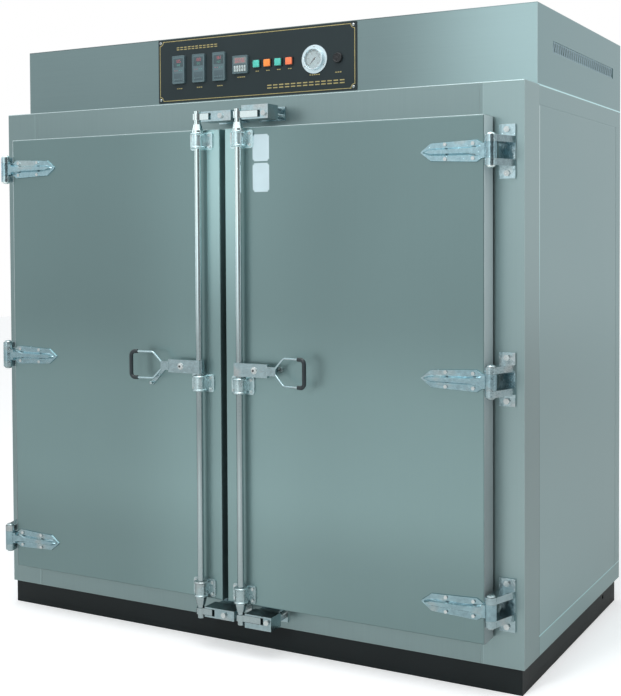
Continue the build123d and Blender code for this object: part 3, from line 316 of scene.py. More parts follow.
def makeFinish(name, colour, rough, metal=0.0, stretch=80, grainShade=0.1, grainRough=0.1,
               grainDepth=0.0, cloudScale=2.0, cloudShade=0.1, edgeWidth=0.0015, edgeLight=0.3,
               dust=0.2, coat=0.0, clear=0.0, glow=0.0, bands=(), tint=None, shine=0.5):
    rules = finishRules
    mat = bpy.data.materials.new(name)
    mat.use_nodes = True
    tree = mat.node_tree

    def useGroup(group, **values):
        return makeNode(tree, "ShaderNodeGroup", {"node_tree": group}, **values).outputs[0]

    pull = stretch if isinstance(stretch, tuple) else (stretch,) * 3
    grain = useGroup(grainGroup, Stretch=pull, Detail=rules["grainDetail"])
    cloud = useGroup(cloudGroup, Scale=cloudScale, Offset=len(name) * rules["cloudStep"])
    edge = useGroup(edgeGroup, Width=edgeWidth)
    dirt = useGroup(dustGroup, Amount=dust)
    grainPart = makeMath(tree, "MULTIPLY", grain, grainShade * 2)
    cloudPart = makeMath(tree, "MULTIPLY", cloud, cloudShade * 2)
    tone = makeMath(tree, "ADD", makeMath(tree, "ADD", grainPart, cloudPart), 1.0)
    if bands:
        split = makeNode(tree, "ShaderNodeSeparateXYZ", None, {0: objectPlace(tree)})
        for band in bands:
            tone = addBand(tree, tone, split, band)
    body = mixColour(tree, makeRange(tree, cloud, *rules["tintFade"]), (*colour, 1), (*(tint or colour), 1))
    shaded = makeNode(tree, "ShaderNodeVectorMath", {"operation": "SCALE"}, {0: body}, Scale=tone).outputs[0]
    # edges shift towards a paler colour: a painted highlight
    edgeHighlightColour = (*[min(1.0, c * rules["highlightGain"] + rules["highlightLift"]) for c in colour], 1)
    bright = mixColour(tree, makeMath(tree, "MULTIPLY", edge, edgeLight), shaded, edgeHighlightColour)
    roughGrain = makeMath(tree, "MULTIPLY", grain, grainRough * 2)
    roughCloud = makeMath(tree, "MULTIPLY", cloud, rules["cloudRoughness"])
    roughSum = makeMath(tree, "ADD", makeMath(tree, "ADD", roughGrain, roughCloud), rough)
    roughDust = makeMath(tree, "MULTIPLY", dirt, rules["dustRoughness"])
    shader = feed(tree, tree.nodes["Principled BSDF"], {
        "Metallic": metal, "Specular IOR Level": shine, "Coat Weight": coat,
        "Coat Roughness": rules["coatRoughness"], "Transmission Weight": clear,
        "Base Color": mixColour(tree, dirt, bright, rules["dustColour"]),
        "Roughness": makeMath(tree, "ADD", roughSum, roughDust),
    })
    if grainDepth:
        bump = makeNode(
            tree, "ShaderNodeBump", Strength=rules["bumpStrength"], Distance=grainDepth, Height=grain,
        )
        feed(tree, shader, {"Normal": bump.outputs["Normal"]})
    if glow:
        feed(tree, shader, {"Emission Color": bright, "Emission Strength": glow})
    return mat


def heightShade(tone, *fade):
    return {"axis": "Z", "from": 0.0, "to": 2.0, "tone": tone, "fade": fade}


def recipe(*values, **options):
    return values, options


uprightBrush = (260, 260, 2.5)
levelBrush = (3, 260, 260)
# painted reflection: the strips beside the centre gap lighten towards the top
closingStripSheen = {"axis": "X", "from": 0.0, "to": 0.0585, "tone": -0.02, "fade": (0.90, 1.60, 1.35)}
# painted sheen: the doors lighten towards the centre gap
doorCentreSheen = {"axis": "X", "rise": (0.42, 0.06), "tone": 0.19}
# seam line on the side casings: a dark joint low down, turning into a painted highlight towards the top
frameSeamAndHighlight = {"axis": "Y", "from": -0.3545, "to": -0.3508, "tone": -0.55, "fade": (0.70, 1.60, 2.1),
             "below": 1.7215, "bothSides": False}
# painted highlight: a bright line along the side casings' lower seam
footSeamHighlight = {"axis": "Z", "from": 0.1362, "to": 0.1398, "tone": 0.85, "beyond": 0.96}
# painted highlight along the top fold of the casing and header
topFoldHighlight = {"axis": "Z", "from": 1.7778, "to": 1.7825, "tone": 1.4}
lidEdge = {"axis": "Z", "from": 2.0172, "to": 2.03, "tone": -0.4}
rightSheen = {"axis": "X", "rise": (0.42, 0.97), "tone": 0.76, "bothSides": False}
# painted reflection: the doors lighten below about 1.1 m
doorLowSheen = {"axis": "Z", "rise": (1.12, 0.82), "tone": 0.20}
# painted shade: the doors darken near their feet
doorFootShade = {"axis": "Z", "rise": (0.55, 0.30), "tone": -0.20}
# painted reflection: the casing lightens towards the bottom
sideLowSheen = {"axis": "Z", "rise": (1.45, 0.60), "tone": 0.12}
# painted highlight: a bright line along the stiles' inner seams
stileSeamHighlight = {"axis": "X", "from": 0.8490, "to": 0.8502, "tone": 0.45}
castShade = heightShade(-0.24, 0.3, 1.5, 0.10)
bearingShade = heightShade(-0.34, 0.3, 1.5, 0.22)
strapShade = heightShade(-0.24, 0.3, 1.4, 0.02)
stileSheen = {"axis": "X", "from": 0.850, "to": 0.98, "tone": 0.12, "fade": (0.5, 1.7, 0.28), "bothSides": False}
rodShade = heightShade(-0.50, 0.8, 1.5, 0.14)
edgeShade = heightShade(-0.30, 0.4, 1.6, 0.35)
recipes = {
    "doorSteel": recipe(
        (0.190, 0.280, 0.283), 0.34, 0.85, uprightBrush, 0.025, 0.02, 0.00001, 1.3, 0.10, 0.0025, 0.55,
        bands=(closingStripSheen, doorCentreSheen, doorLowSheen, doorFootShade),
    ),
    "frameSteel": recipe(
        (0.250, 0.338, 0.343), 0.33, 0.85, uprightBrush, 0.05, 0.04, 0.00001, 1.4, 0.09, 0.0025, 0.5,
        bands=(stileSheen, stileSeamHighlight),
    ),
    "casingSteel": recipe(
        (0.30, 0.420, 0.430), 0.36, 0.85, uprightBrush, 0.04, 0.04, 0.00001, 1.2, 0.06, 0.002, 0.4,
        bands=(frameSeamAndHighlight, footSeamHighlight, topFoldHighlight, sideLowSheen),
    ),
    "headerFace": recipe(
        (0.218, 0.303, 0.310), 0.32, 0.85, levelBrush, 0.05, 0.04, 0.00001, 1.6, 0.10, 0.0025, 0.5,
        bands=(rightSheen, lidEdge),
    ),
    "headerSteel": recipe(
        (0.243, 0.372, 0.386), 0.32, 0.85, levelBrush, 0.05, 0.04, 0.00001, 1.6, 0.10, 0.0025, 0.5,
        bands=(topFoldHighlight,),
    ),
    "linerSteel": recipe((0.46, 0.48, 0.48), 0.30, 0.9, levelBrush, 0.05, 0.05, 0.00002, 2.2, 0.10, 0.0015, 0.2),
    "shelfSteel": recipe((0.42, 0.43, 0.43), 0.33, 0.9, (200, 6, 200), 0.08, 0.06, 0.00002, 3.0, 0.12, 0.001, 0.2),
    "heaterSteel": recipe(
        (0.25, 0.20, 0.16), 0.45, 0.9, 90, 0.15, 0.1, 0.00005, 7.0, 0.3, 0.0006, 0.2,
        tint=(0.16, 0.17, 0.22),
    ),
    "strapCast": recipe(
        (0.37, 0.55, 0.61), 0.17, 0.97, 75, 0.24, 0.14, 0.0018, 14.0, 0.22, 0.0015, 0.60,
        bands=(strapShade,), tint=(0.42, 0.52, 0.54),
    ),
    "bearingCast": recipe(
        (0.60, 0.77, 0.80), 0.29, 0.95, 75, 0.20, 0.12, 0.0012, 14.0, 0.20, 0.0015, 0.60,
        bands=(bearingShade,), tint=(0.52, 0.60, 0.61),
    ),
    "brightCast": recipe(
        (0.46, 0.61, 0.65), 0.15, 0.97, 75, 0.20, 0.14, 0.0016, 14.0, 0.20, 0.0015, 0.60,
        bands=(castShade,), tint=(0.50, 0.56, 0.57),
    ),
    "brightRod": recipe(
        (0.76, 0.92, 0.95), 0.16, 0.97, (500, 500, 12), 0.07, 0.08, 0.00003, 5.0, 0.08, 0.0008, 0.2,
        bands=(rodShade,),
    ),
    "zincBolt": recipe((0.62, 0.67, 0.67), 0.25, 0.92, 900, 0.18, 0.12, 0.00008, 40.0, 0.2, 0.0008, 0.5),
    "plinthBlack": recipe(
        (0.008, 0.012, 0.013), 0.50, 0.0, 300, 0.25, 0.08, 0.0001, 5.0, 0.3, 0.002, 0.08, 0.2,
        shine=0.25,
    ),
    "panelBlack": recipe(
        (0.016, 0.026, 0.029), 0.40, 0.0, 700, 0.14, 0.06, 0.00003, 8.0, 0.12, 0.001, 0.15, 0.1,
        shine=0.28,
    ),
    "goldInk": recipe((0.40, 0.34, 0.15), 0.42, 0.4, 900, 0.2, 0.1, 0.0, 60.0, 0.25, 0.0003, 0.1, 0.05),
    "instrumentGrey": recipe(
        (0.085, 0.135, 0.150), 0.42, 0.0, 1500, 0.2, 0.1, 0.00008, 30.0, 0.1, 0.0008,
        0.3,
    ),
    "displayGlass": recipe(
        (0.050, 0.078, 0.088), 0.15, 0.0, 300, 0.1, 0.04, 0.0, 40.0, 0.2, 0.0005, 0.2,
        0.05,
    ),
    "redDigits": recipe(
        (0.42, 0.10, 0.12), 0.35, 0.0, 900, 0.1, 0.05, 0.0, 90.0, 0.2, 0.0003, 0.1, 0.0,
        glow=0.25,
    ),
    "greenDigits": recipe(
        (0.10, 0.30, 0.26), 0.35, 0.0, 900, 0.1, 0.05, 0.0, 90.0, 0.2, 0.0003, 0.1, 0.0,
        glow=0.2,
    ),
    "wheelWhite": recipe((0.42, 0.50, 0.50), 0.40, 0.0, 900, 0.1, 0.05, 0.00003, 60.0, 0.2, 0.0005, 0.2),
    "moulding": recipe(
        (0.014, 0.016, 0.018), 0.42, 0.0, 1200, 0.3, 0.12, 0.0001, 20.0, 0.2, 0.0008,
        0.12,
    ),
    "gripVinyl": recipe(
        (0.012, 0.020, 0.024), 0.36, 0.0, (500, 500, 90), 0.3, 0.12, 0.00015, 30.0, 0.25, 0.001,
        0.10,
    ),
    "gasketSilicone": recipe(
        (0.035, 0.037, 0.040), 0.60, 0.0, 300, 0.25, 0.1, 0.0001, 9.0, 0.2, 0.001,
        0.1,
    ),
    "mineralWool": recipe(
        (0.50, 0.43, 0.26), 0.95, 0.0, (60, 400, 400), 0.5, 0.05, 0.002, 6.0, 0.3, 0.001, 0.0,
        tint=(0.36, 0.32, 0.20),
    ),
    "greenLens": recipe(
        (0.06, 0.42, 0.35), 0.22, 0.0, 600, 0.15, 0.05, 0.0, 60.0, 0.3, 0.0012, 0.4, 0.1, 0.4,
        glow=0.2,
    ),
    "orangeLens": recipe(
        (0.78, 0.22, 0.035), 0.22, 0.0, 600, 0.15, 0.05, 0.0, 60.0, 0.3, 0.0012, 0.4, 0.1, 0.4,
        glow=0.2,
    ),
    "redLens": recipe(
        (0.70, 0.15, 0.055), 0.22, 0.0, 600, 0.15, 0.05, 0.0, 60.0, 0.3, 0.0012, 0.4, 0.1, 0.4,
        glow=0.2,
    ),
    "gaugeWhite": recipe((0.68, 0.82, 0.87), 0.24, 0.6, 700, 0.08, 0.06, 0.0, 30.0, 0.1, 0.001, 0.5, 0.1),
    "dialPaper": recipe((0.55, 0.68, 0.71), 0.5, 0.0, 900, 0.05, 0.05, 0.0, 40.0, 0.08, 0.0005, 0.0),
    "pointerBlack": recipe((0.02, 0.02, 0.022), 0.4, 0.0, 900, 0.2, 0.1, 0.0, 50.0, 0.1, 0.0003, 0.1),
    "clearGlass": recipe(
        (0.97, 0.99, 0.99), 0.03, 0.0, 60, 0.01, 0.01, 0.0, 20.0, 0.01, 0.0003, 0.0, 0.02,
        clear=0.95,
    ),
    "motorPaint": recipe((0.06, 0.12, 0.18), 0.38, 0.1, 300, 0.15, 0.1, 0.0001, 8.0, 0.2, 0.0012, 0.3),
    "cardVinyl": recipe(
        (0.45, 0.57, 0.61), 0.38, 0.0, 400, 0.03, 0.04, 0.00002, 25.0, 0.06, 0.0006, 0.2,
        0.05,
    ),
    # lighter steel for folds and beads: a painted highlight
    "foldSteel": recipe((0.55, 0.68, 0.69), 0.26, 0.85, levelBrush, 0.05, 0.06, 0.0, 2.0, 0.12, 0.0005, 0.2),
    # lighter steel for the doors' outer edges: a painted highlight, with painted shade towards the bottom
    "edgeSteel": recipe(
        (0.46, 0.54, 0.55), 0.36, 0.15, uprightBrush, 0.05, 0.06, 0.0, 2.0, 0.10, 0.0005, 0.2,
        bands=(edgeShade,),
    ),
    "louvreSteel": recipe((0.37, 0.51, 0.57), 0.34, 0.55, (260, 260, 30), 0.06, 0.06, 0.0, 6.0, 0.12, 0.0005, 0.2),
    "timerWindow": recipe(
        (0.17, 0.18, 0.18), 0.20, 0.0, 300, 0.1, 0.04, 0.0, 40.0, 0.2, 0.0005, 0.2,
        0.05,
    ),
    "keypadGrey": recipe(
        (0.060, 0.095, 0.108), 0.40, 0.0, 900, 0.1, 0.06, 0.00003, 40.0, 0.1, 0.0005,
        0.2,
    ),
}
finish = {}
for name, (values, options) in recipes.items():
    finish[name] = makeFinish(name, *values, **options)
print("finishes:", len(finish))


# Finish of each CAD node
nodeFinish = {
    "doorSteel": ("door_skin_left", "door_skin_right"),
    "frameSteel": ("front_frame",),
    "casingSteel": ("casing_left", "casing_right", "casing_back", "casing_roof"),
    "headerFace": ("header_front",),
    "headerSteel": ("header_shell", "header_lid", "header_louvres"),
    "linerSteel": ("casing_floor", "inner_liner", "air_ducts", "door_liner_left", "door_liner_right"),
    "shelfSteel": ("shelf_runners", "shelves", "fan_impeller", "exhaust_spigot"),
    "heaterSteel": ("heaters",),
    "brightCast": (
        "hinge_brackets", "keepers", "handle_left", "handle_right", "handle_catch_left", "handle_catch_right",
    ),
    "bearingCast": ("rod_bearings_left", "rod_bearings_right"),
    "strapCast": ("hinge_straps_left", "hinge_straps_right"),
    "brightRod": ("lock_rod_left", "lock_rod_right", "hinge_pins"),
    "zincBolt": ("frame_bolts", "door_bolts_left", "door_bolts_right", "panel_screws"),
    "plinthBlack": ("plinth_frame",),
    "panelBlack": ("control_panel",),
    "instrumentGrey": ("temperature_controllers", "timer"),
    "moulding": ("buzzer", "button_bezels", "cable_gland"),
    "gripVinyl": ("handle_grip_left", "handle_grip_right"),
    "gasketSilicone": ("door_gasket_left", "door_gasket_right"),
    "mineralWool": ("insulation", "door_core_left", "door_core_right"),
    "greenLens": ("push_button_1", "push_button_3"),
    "orangeLens": ("push_button_2",),
    "redLens": ("push_button_4",),
    "gaugeWhite": ("gauge_case",),
    "pointerBlack": ("gauge_pointer",),
    "clearGlass": ("gauge_lens",),
    "motorPaint": ("fan_motor",),
}


def dressNodes(table):
    for name, members in table.items():
        for member in members:
            slots = nodes[member].data.materials
            slots.clear()
            slots.append(finish[name])
    bare = set(nodes) - {m for members in table.values() for m in members}
    assert not bare, bare


dressNodes(nodeFinish)
print("nodes dressed")


# Mesh helpers
def paintNew(bm, known, paint):
    for face in bm.faces:
        if face not in known:
            face.material_index = paint


def addBlock(bm, x, y, z, bevel=0.0, paint=0):
    known = set(bm.faces)
    size = [high - low for low, high in (x, y, z)]
    middle = [(high + low) / 2 for low, high in (x, y, z)]
    # made and bevelled by itself, because a bevel inside a larger mesh numbers its corners anew in each run
    block = bmesh.new()
    bmesh.ops.create_cube(block, size=1, matrix=Matrix.Translation(middle) @ Matrix.Diagonal((*size, 1)))
    if bevel:
        bmesh.ops.bevel(block, geom=block.edges[:], offset=bevel, segments=2, profile=0.6, affect="EDGES")
    part = bpy.data.meshes.new("block")
    block.to_mesh(part)
    block.free()
    bm.from_mesh(part)
    bpy.data.meshes.remove(part)
    paintNew(bm, known, paint)


def addPlate(bm, outline, y, paint=0):
    known = set(bm.faces)
    rings = [[bm.verts.new((px, depth, pz)) for px, pz in outline] for depth in y]
    bm.faces.new(rings[0])
    bm.faces.new(reversed(rings[1]))
    count = len(outline)
    for k in range(count):
        n = (k + 1) % count
        bm.faces.new((rings[0][n], rings[0][k], rings[1][k], rings[1][n]))
    paintNew(bm, known, paint)


def addTurned(bm, place, profile, steps=40, paint=0, closed=False):
    known = set(bm.faces)
    rings = []
    for radius, rise in profile:
        ring = []
        for k in range(steps if radius else 1):
            angle = 2 * math.pi * k / steps
            c, s = radius * math.cos(angle), radius * math.sin(angle)
            ring.append(bm.verts.new((place[0] + c, place[1] - rise, place[2] + s)))
        rings.append(ring)
    for lower, upper in zip(rings, rings[1:] + (rings[:1] if closed else [])):
        for k in range(steps):
            n = (k + 1) % steps
            corners = [lower[k % len(lower)], lower[n % len(lower)], upper[n % len(upper)], upper[k % len(upper)]]
            bm.faces.new(list(dict.fromkeys(corners)))
    paintNew(bm, known, paint)


def addSweep(bm, path, outward, section, paint=0):
    known = set(bm.faces)
    rings = [
        [bm.verts.new((p.x + o.x * out, p.y + rise, p.z + o.z * out)) for out, rise in section]
        for p, o in zip(path, outward)
    ]
    count = len(section)
    for here, after in zip(rings, rings[1:] + rings[:1]):
        for k in range(count):
            n = (k + 1) % count
            bm.faces.new((here[k], here[n], after[n], after[k]))
    paintNew(bm, known, paint)


def roundedLoop(x, z, y, radius, steps=6):
    path, outward = [], []
    corners = ((x[1], z[1], -1, -1), (x[0], z[1], 1, -1), (x[0], z[0], 1, 1), (x[1], z[0], -1, 1))
    for turn, (cornerX, cornerZ, inX, inZ) in enumerate(corners):
        for k in range(steps + 1):
            angle = math.radians(90 * (turn + k / steps))
            c, s = math.cos(angle), math.sin(angle)
            path.append(Vector((cornerX + radius * (inX + c), y, cornerZ + radius * (inZ + s))))
            outward.append(Vector((c, 0, s)))
    return path, outward


def notchedLoop(x, z, y, radius, steps=6):
    path, outward = [], []
    for turn, (cornerX, cornerZ) in enumerate(((x[1], z[1]), (x[0], z[1]), (x[0], z[0]), (x[1], z[0]))):
        for k in range(steps + 1):
            angle = math.radians(90 * (turn + 3 - k / steps))
            c, s = math.cos(angle), math.sin(angle)
            path.append(Vector((cornerX + radius * c, y, cornerZ + radius * s)))
            away = Vector((-c, 0, -s))
            if k in (0, steps):  # mitred where the arc meets a straight side
                side = math.radians(90 * (turn + (k > 0)))
                away += Vector((math.cos(side), 0, math.sin(side)))
            outward.append(away)
    return path, outward


def placePiece(name, mesh, paints, body, hides=()):
    for paint in paints:
        mesh.materials.append(finish[paint])
    mesh.shade_smooth()
    mesh.set_sharp_from_angle(angle=math.radians(32))
    piece = addToScene(name, mesh)
    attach(piece, body)
    if hides:
        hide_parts(*hides)


def closeMesh(name, bm):
    bmesh.ops.recalc_face_normals(bm, faces=bm.faces)
    mesh = bpy.data.meshes.new(name)
    bm.to_mesh(mesh)
    bm.free()
    return mesh


def closePiece(name, bm, paints, body, hides=()):
    placePiece(name, closeMesh(name, bm), paints, body, hides)


# Geometry node trees: a sweep along a path, a row and a ring of copies
def newTree(name, inputs):
    tree = bpy.data.node_groups.new(name, "GeometryNodeTree")
    tree.interface.new_socket(name="Geometry", in_out="INPUT", socket_type="NodeSocketGeometry")
    for label, kind, value in inputs:
        socket = tree.interface.new_socket(name=label, in_out="INPUT", socket_type=kind)
        if value is not None:
            socket.default_value = value
    tree.interface.new_socket(name="Paint", in_out="INPUT", socket_type="NodeSocketMaterial")
    tree.interface.new_socket(name="Geometry", in_out="OUTPUT", socket_type="NodeSocketGeometry")
    return tree, tree.nodes.new("NodeGroupInput"), tree.nodes.new("NodeGroupOutput")


def closeTree(tree, take, give, grown):
    real = makeNode(tree, "GeometryNodeRealizeInstances", Geometry=grown).outputs["Geometry"]
    paint = makeNode(tree, "GeometryNodeSetMaterial", Geometry=real, Material=take.outputs["Paint"])
    feed(tree, give, {"Geometry": paint.outputs["Geometry"]})
    return tree


def makeSweepTree():
    tree, take, give = newTree("sweptBead", [("Radius", "NodeSocketFloat", 0.001)])
    curve = makeNode(tree, "GeometryNodeMeshToCurve", Mesh=take.outputs["Geometry"]).outputs["Curve"]
    circle = makeNode(tree, "GeometryNodeCurvePrimitiveCircle", Resolution=10, Radius=take.outputs["Radius"])
    bead = {"Curve": curve, "Profile Curve": circle.outputs["Curve"], "Fill Caps": True}
    sweep = makeNode(tree, "GeometryNodeCurveToMesh", None, bead)
    return closeTree(tree, take, give, sweep.outputs["Mesh"])


def makeRowTree():
    tree, take, give = newTree(
        "rowOfCopies",
        [("Count", "NodeSocketInt", 2), ("Start", "NodeSocketVector", None), ("Step", "NodeSocketVector", None)],
    )
    spots = {"Count": take.outputs["Count"], "Start Location": take.outputs["Start"], "Offset": take.outputs["Step"]}
    line = makeNode(tree, "GeometryNodeMeshLine", {"mode": "OFFSET"}, spots).outputs["Mesh"]
    copies = makeNode(tree, "GeometryNodeInstanceOnPoints", Points=line, Instance=take.outputs["Geometry"])
    return closeTree(tree, take, give, copies.outputs["Instances"])


def makeRingTree():
    tree, take, give = newTree(
        "ringOfCopies",
        [
            ("Count", "NodeSocketInt", 12), ("Centre", "NodeSocketVector", None), ("Radius", "NodeSocketFloat", 0.01),
            ("First", "NodeSocketFloat", 0.0), ("Turn", "NodeSocketFloat", 0.5),
        ],
    )
    line = makeNode(tree, "GeometryNodeMeshLine", Count=take.outputs["Count"]).outputs["Mesh"]
    index = tree.nodes.new("GeometryNodeInputIndex")
    turned = makeMath(tree, "MULTIPLY", index.outputs["Index"], take.outputs["Turn"])
    angle = makeMath(tree, "ADD", turned, take.outputs["First"])
    spot = makeNode(
        tree, "ShaderNodeCombineXYZ",
        X=makeMath(tree, "MULTIPLY", makeMath(tree, "COSINE", angle), take.outputs["Radius"]),
        Z=makeMath(tree, "MULTIPLY", makeMath(tree, "SINE", angle), take.outputs["Radius"]),
    )
    moved = {0: spot.outputs[0], 1: take.outputs["Centre"]}
    move = makeNode(tree, "ShaderNodeVectorMath", {"operation": "ADD"}, moved)
    seat = makeNode(tree, "GeometryNodeSetPosition", Geometry=line, Position=move.outputs[0])
    euler = makeNode(tree, "ShaderNodeCombineXYZ", Y=makeMath(tree, "MULTIPLY", angle, -1.0))
    lean = makeNode(tree, "FunctionNodeEulerToRotation", Euler=euler.outputs[0])
    copies = makeNode(
        tree, "GeometryNodeInstanceOnPoints", Points=seat.outputs["Geometry"], Instance=take.outputs["Geometry"],
        Rotation=lean.outputs["Rotation"],
    )
    return closeTree(tree, take, give, copies.outputs["Instances"])


sweepTree = makeSweepTree()
rowTree = makeRowTree()
ringTree = makeRingTree()


def seedMesh(name, build):
    bm = bmesh.new()
    build(bm)
    return closeMesh(name, bm)


def pathMesh(name, points):
    mesh = bpy.data.meshes.new(name)
    mesh.from_pydata([tuple(p) for p in points], [(k, k + 1) for k in range(len(points) - 1)], [])
    return mesh


def growMesh(name, seed, tree, values, paint):
    grower = addToScene(name + "Seed", seed)
    modifier = grower.modifiers.new("grow", "NODES")
    modifier.node_group = tree
    for item in tree.interface.items_tree:
        if item.item_type == "SOCKET" and item.in_out == "INPUT" and item.name in values:
            modifier[item.identifier] = values[item.name]
        if item.item_type == "SOCKET" and item.name == "Paint":
            modifier[item.identifier] = finish[paint]
    settled = grower.evaluated_get(bpy.context.evaluated_depsgraph_get())
    grown = bpy.data.meshes.new_from_object(settled)
    grower.modifiers.remove(modifier)
    bpy.data.objects.remove(grower)
    grown.name = name
    return grown


def growPiece(name, seed, tree, values, paint, body):
    mesh = growMesh(name, seed, tree, values, paint)
    mesh.materials.clear()
    placePiece(name, mesh, (paint,), body)


def mergeMeshes(name, parts, paints, body):
    bm = bmesh.new()
    for mesh, paint in parts:
        known = set(bm.faces)
        bm.from_mesh(mesh)
        paintNew(bm, known, paint)
    merged = bpy.data.meshes.new(name)
    bm.to_mesh(merged)
    bm.free()
    placePiece(name, merged, paints, body)


def textMesh(label, height, place, depth=0.0003):
    curve = bpy.data.curves.new("number", "FONT")
    curve.body = label
    curve.size = height * 1.4
    curve.extrude = depth / 2
    curve.align_x = "CENTER"
    curve.align_y = "CENTER"
    curve.resolution_u = 3
    holder = addToScene("number", curve)
    bpy.context.view_layer.update()
    flat = bpy.data.meshes.new_from_object(holder.evaluated_get(bpy.context.evaluated_depsgraph_get()))
    bpy.data.objects.remove(holder)
    flat.transform(Matrix.Translation(place) @ Matrix.Rotation(math.radians(90), 4, "X"))
    return flat


# Cabinet's top fold: a bead along its front edge, in a lighter steel that is a painted highlight
topFoldBead = {"reach": 0.9744, "y": -0.4886, "z": 1.7792, "radius": 0.0017}
foldEnds = [(side * topFoldBead["reach"], topFoldBead["y"], topFoldBead["z"]) for side in (-1, 1)]
growPiece(
    "topFoldBead", pathMesh("foldPath", foldEnds), sweepTree, {"Radius": topFoldBead["radius"]},
    "foldSteel", "cabinet",
)


# Louvre fins in the header's side recesses
louvre = {
    "count": 30, "firstY": -0.2195, "pitch": 0.0231, "width": 0.0120, "lean": 0.0080,
    "z": (1.8905, 1.9255), "foot": 0.9730, "crest": 0.9747,
}


def buildFin(bm, side):
    rows = []
    for z, shift in zip(louvre["z"], (0.0, louvre["lean"])):
        spots = ((louvre["foot"], 0.0), (louvre["crest"], louvre["width"] * 0.3), (louvre["foot"], louvre["width"]))
        rows.append([bm.verts.new((side * x, y + shift, z)) for x, y in spots])
    for k in range(3):
        n = (k + 1) % 3
        bm.faces.new((rows[0][k], rows[0][n], rows[1][n], rows[1][k]))
    bm.faces.new(rows[0])
    bm.faces.new(reversed(rows[1]))


for side, label in ((-1, "left"), (1, "right")):
    growPiece(
        "louvreFins_" + label, seedMesh("fin", lambda bm, side=side: buildFin(bm, side)), rowTree,
        {"Count": louvre["count"], "Start": (0, louvre["firstY"], 0), "Step": (0, louvre["pitch"], 0)},
        "louvreSteel", "cabinet",
    )
print("header trimmed")


# Gold line and plain gold dashes printed on the control panel
panelInk = {
    "face": -0.3765, "proud": 0.0003, "x": (-0.378, 0.378), "z": (1.806, 2.010), "notch": 0.014, "line": 0.0011,
    "rows": (  # middle X, Z, dashes, pitch, size of a dash
        (-0.225, 1.9865, 11, 0.0155, (0.0110, 0.0030)),
        (-0.225, 1.9795, 11, 0.0155, (0.0110, 0.0030)),
        (0.1975, 1.8345, 13, 0.0225, (0.0165, 0.0036)),
        (0.1975, 1.8255, 13, 0.0225, (0.0165, 0.0036)),
        (-0.297, 1.846, 3, 0.0080, (0.0056, 0.0032)),
        (-0.2145, 1.846, 3, 0.0080, (0.0056, 0.0032)),
        (-0.132, 1.846, 3, 0.0080, (0.0056, 0.0032)),
        (-0.047, 1.869, 4, 0.0080, (0.0056, 0.0032)),
        (0.016, 1.884, 2, 0.0075, (0.0052, 0.0032)),
        (0.0575, 1.884, 2, 0.0075, (0.0052, 0.0032)),
        (0.099, 1.884, 2, 0.0075, (0.0052, 0.0032)),
        (0.1405, 1.884, 2, 0.0075, (0.0052, 0.0032)),
        (0.233, 1.8575, 5, 0.0080, (0.0056, 0.0032)),
        (0.319, 1.8600, 3, 0.0080, (0.0056, 0.0032)),
    ),
}


def buildDash(bm, size, ink):
    addBlock(bm, (-size[0] / 2, size[0] / 2), (-ink["proud"], ink["proud"]), (-size[1] / 2, size[1] / 2))


def printPanel(ink):
    bm = bmesh.new()
    path, outward = notchedLoop(ink["x"], ink["z"], ink["face"], ink["notch"])
    line, proud = ink["line"], ink["proud"]
    addSweep(bm, path, outward, ((-line, proud), (line, proud), (line, -proud), (-line, -proud)))
    closePiece("panelBorder", bm, ("goldInk",), "cabinet")
    parts = []
    for x, z, count, pitch, dash in ink["rows"]:
        seed = seedMesh("dash", lambda bm, dash=dash: buildDash(bm, dash, ink))
        values = {"Count": count, "Start": (x - pitch * (count - 1) / 2, ink["face"], z), "Step": (pitch, 0, 0)}
        parts.append((growMesh("dashes", seed, rowTree, values, "goldInk"), 0))
    mergeMeshes("panelDashes", parts, ("goldInk",), "cabinet")


printPanel(panelInk)


# Instrument faces: rims, windows, lit digits and keys
segmentShapes = {
    "a": ((0.16, 0.84), (0.90, 1.0)), "b": ((0.86, 1.0), (0.53, 0.97)), "c": ((0.86, 1.0), (0.03, 0.47)),
    "d": ((0.16, 0.84), (0.0, 0.10)), "e": ((0.0, 0.14), (0.03, 0.47)), "f": ((0.0, 0.14), (0.53, 0.97)),
    "g": ((0.16, 0.84), (0.45, 0.55)),
}
segmentDigits = {"0": "abcdef", "1": "bc", "2": "abged", "4": "fgbc", "5": "afgcd", "6": "afgedc", "8": "abcdefg"}


def addDigits(bm, text, x, z, face, height, gap, paint):
    width = height * 0.56
    first = x - (width * len(text) + gap * (len(text) - 1)) / 2
    for k, mark in enumerate(text):
        left = first + k * (width + gap)
        for name in segmentDigits[mark]:
            (x0, x1), (z0, z1) = segmentShapes[name]
            addBlock(
                bm, (left + x0 * width, left + x1 * width), (face - 0.0003, face + 0.0003),
                (z + (z0 - 0.5) * height, z + (z1 - 0.5) * height), paint=paint,
            )


def addRim(bm, x, z, face, width, proud, radius, paint):
    path, outward = roundedLoop(x, z, face, radius)
    addSweep(
        bm, path, outward,
        ((-width, 0.0002), (0, 0.0002), (-width * 0.15, -proud * 0.8), (-width * 0.4, -proud), (-width * 0.85, -proud)),
        paint,
    )


controller = {
    "x": (-0.297, -0.2145, -0.132), "z": 1.910, "face": -0.3845, "half": (0.0248, 0.0478), "rim": (0.0022, 0.0012),
    "window": (0.0190, 0.0085, 0.0385), "glass": 0.0006,
    "topText": ("185", "180", "182"), "topDigits": (0.0290, 0.0095, 0.0026),
    "lowText": ("180", "180", "180"), "lowDigits": (0.0155, 0.0070, 0.0024),
    "keys": (-0.0135, -0.0045, 0.0045, 0.0135), "keyZ": -0.034, "lampZ": -0.003, "plateZ": (-0.0415, -0.0125),
}


